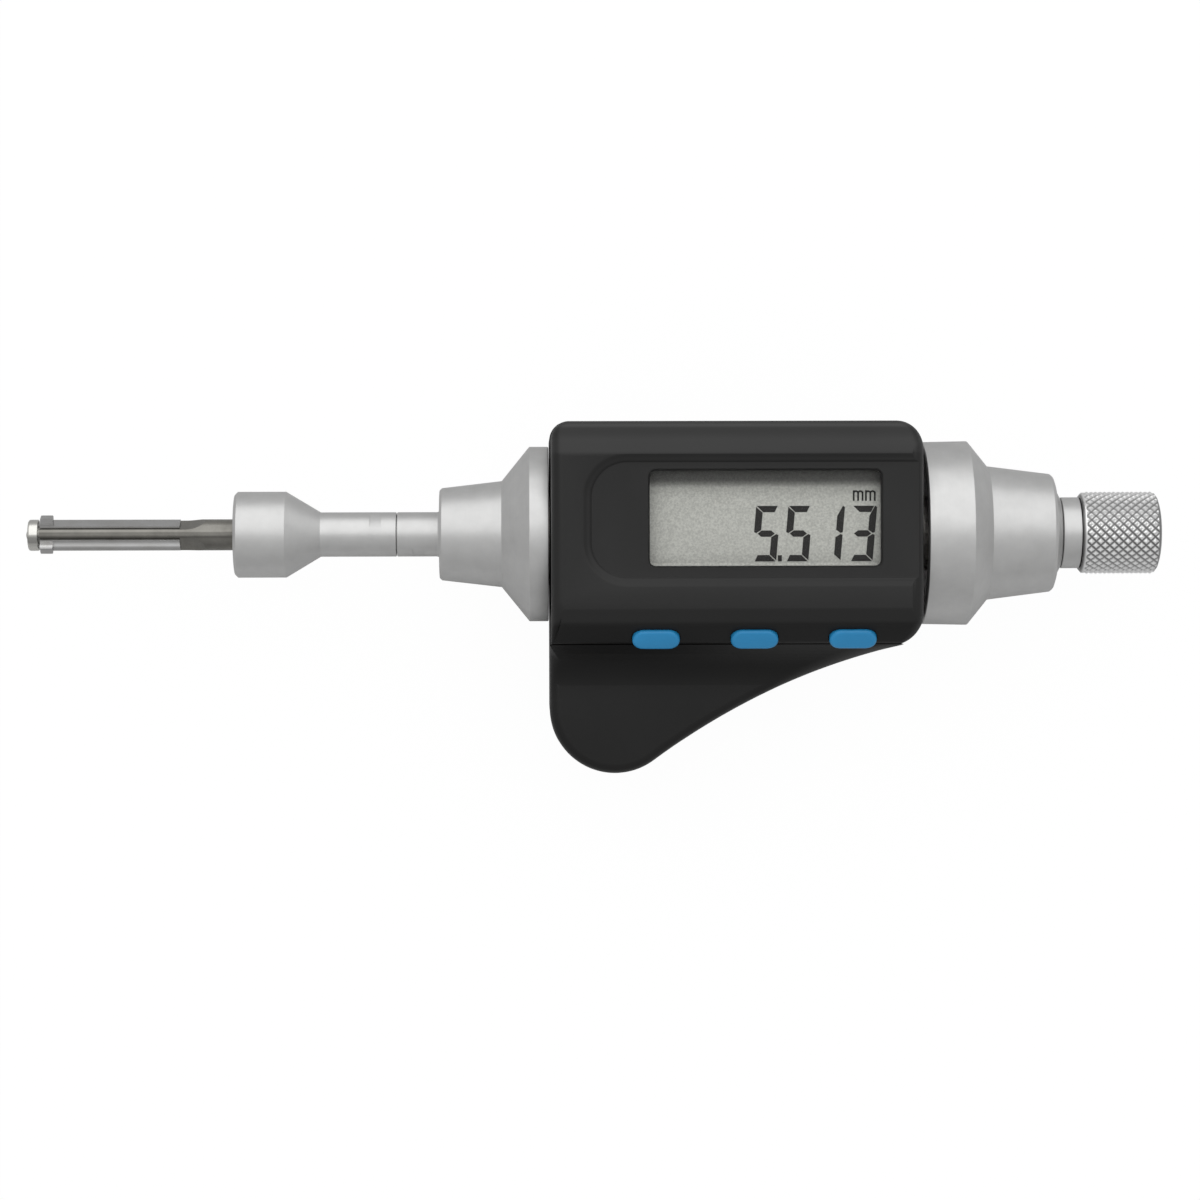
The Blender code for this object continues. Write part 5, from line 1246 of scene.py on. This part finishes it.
def unit_letter(left):
    """A small letter m as three stems under a bar with round shoulders."""
    pieces = []
    stroke = UNIT_STROKE
    stems = (left, left + (UNIT_SIZE - stroke) / 2.0, left + UNIT_SIZE - stroke)
    for stem in stems:
        tall = UNIT_SIZE if stem == left else UNIT_SIZE - stroke * 0.8
        pieces.append(oblong(stem, UNIT_BOTTOM, stem + stroke, UNIT_BOTTOM + tall))
    for start, end in zip(stems, stems[1:]):
        middle = (start + end + stroke) / 2.0
        reach = (end + stroke - start) / 2.0
        centre = UNIT_BOTTOM + UNIT_SIZE - reach
        outer = arc(middle, centre, reach, 0.0, 180.0, 10)
        pieces.append(outer + arc(middle, centre, reach - stroke, 180.0, 0.0, 10))
    return pieces


def display_unit():
    """The unit over the digits; strokes that overlap differ in thickness."""
    face = corners("lcd_panel")[1][2] + INK_LIFT
    meshes = []
    for left in UNIT_LEFTS:
        for outline in unit_letter(left):
            meshes.append(prism(outline, face, face + UNIT_THICK[len(meshes) % 2]))
    display_piece("display_unit", meshes)


display_digits()
display_unit()


def floor():
    """A pale floor under the object, white to the camera but for the object's shadow."""
    shape = bmesh.new()
    bmesh.ops.create_grid(shape, x_segments=8, y_segments=8, size=FLOOR_HALF_M)
    made = placed("floor", as_mesh(shape, "floor"))
    made.location = (0.0, 0.0, -FLOOR_GAP * MM)
    look, tree, shader = node_tree("floor_white")
    grey = (FLOOR_GREY, FLOOR_GREY, FLOOR_GREY, 1.0)
    fill(shader, Base_Color=grey, Roughness=0.9, Specular_IOR_Level=0.0)
    glow = add_node(tree, "ShaderNodeEmission", Color=(1.0, 1.0, 1.0, 1.0), Strength=FLOOR_GLOW)
    mix = tree.nodes.new("ShaderNodeMixShader")
    light_path = tree.nodes.new("ShaderNodeLightPath")
    seen = scaled(tree, light_path.outputs["Is Camera Ray"], FLOOR_SHINE)
    link(seen, mix.inputs["Fac"])
    link(shader.outputs["BSDF"], mix.inputs[1])
    link(glow.outputs["Emission"], mix.inputs[2])
    link(mix.outputs["Shader"], tree.nodes["Material Output"].inputs["Surface"])
    made.data.materials.append(look)


def key_light():
    """A large soft lamp over the picture's top edge, turned to the object."""
    lamp = bpy.data.lights.new("key", "AREA")
    lamp.shape = "RECTANGLE"
    lamp.size, lamp.size_y = KEY_SIZE_M
    lamp.energy = KEY_POWER
    made = placed("key", lamp)
    made.location = KEY_PLACE_M
    towards = Vector((0.0, 0.0, 0.0)) - Vector(KEY_PLACE_M)
    made.rotation_euler = towards.to_track_quat("-Z", "Y").to_euler()


def world():
    """Surroundings that are brighter overhead and towards the top edge of the picture."""
    made = bpy.data.worlds.new("studio")
    made.use_nodes = True
    tree = made.node_tree
    place = tree.nodes.new("ShaderNodeTexCoord")
    weight = tree.nodes.new("ShaderNodeVectorMath")
    weight.operation = "DOT_PRODUCT"
    weight.inputs[1].default_value = WORLD_UP
    link(place.outputs["Generated"], weight.inputs[0])
    share = add_node(tree, "ShaderNodeMapRange", From_Min=-0.45, From_Max=0.6)
    link(weight.outputs["Value"], share.inputs["Value"])
    low, high = WORLD_LEVELS
    colour = ramp(tree, share.outputs["Result"], 0.0, 1.0, (low,) * 3, (high,) * 3)
    link(colour, tree.nodes["Background"].inputs["Color"])
    bpy.context.scene.world = made


def on_photo(x, y, height):
    """The place of a pixel of the photograph, at a height."""
    return Vector(((x - ORIGIN_PX[0]) * MM_PER_PIXEL, (ORIGIN_PX[1] - y) * MM_PER_PIXEL, height))


def camera():
    """The photograph's view: straight down, from a little left of the middle."""
    eye = on_photo(*EYE_PX, AXIS + EYE_DISTANCE)
    aim = on_photo(IMAGE / 2.0, IMAGE / 2.0, AXIS)
    lens = bpy.data.cameras.new("camera")
    lens.sensor_width = SENSOR
    lens.lens = SENSOR * EYE_DISTANCE / (IMAGE * MM_PER_PIXEL)
    lens.clip_start = 0.01
    made = placed("camera", lens)
    made.location = eye * MM
    back = (eye - aim).normalized()
    right = Vector((math.cos(math.radians(ROLL)), math.sin(math.radians(ROLL)), 0.0))
    right = (right - back * right.dot(back)).normalized()
    axes = Matrix((right, back.cross(right), back)).transposed()
    made.rotation_euler = axes.to_euler()
    bpy.context.scene.camera = made


floor()
world()
key_light()
camera()
bpy.context.scene.view_settings.view_transform = "Standard"
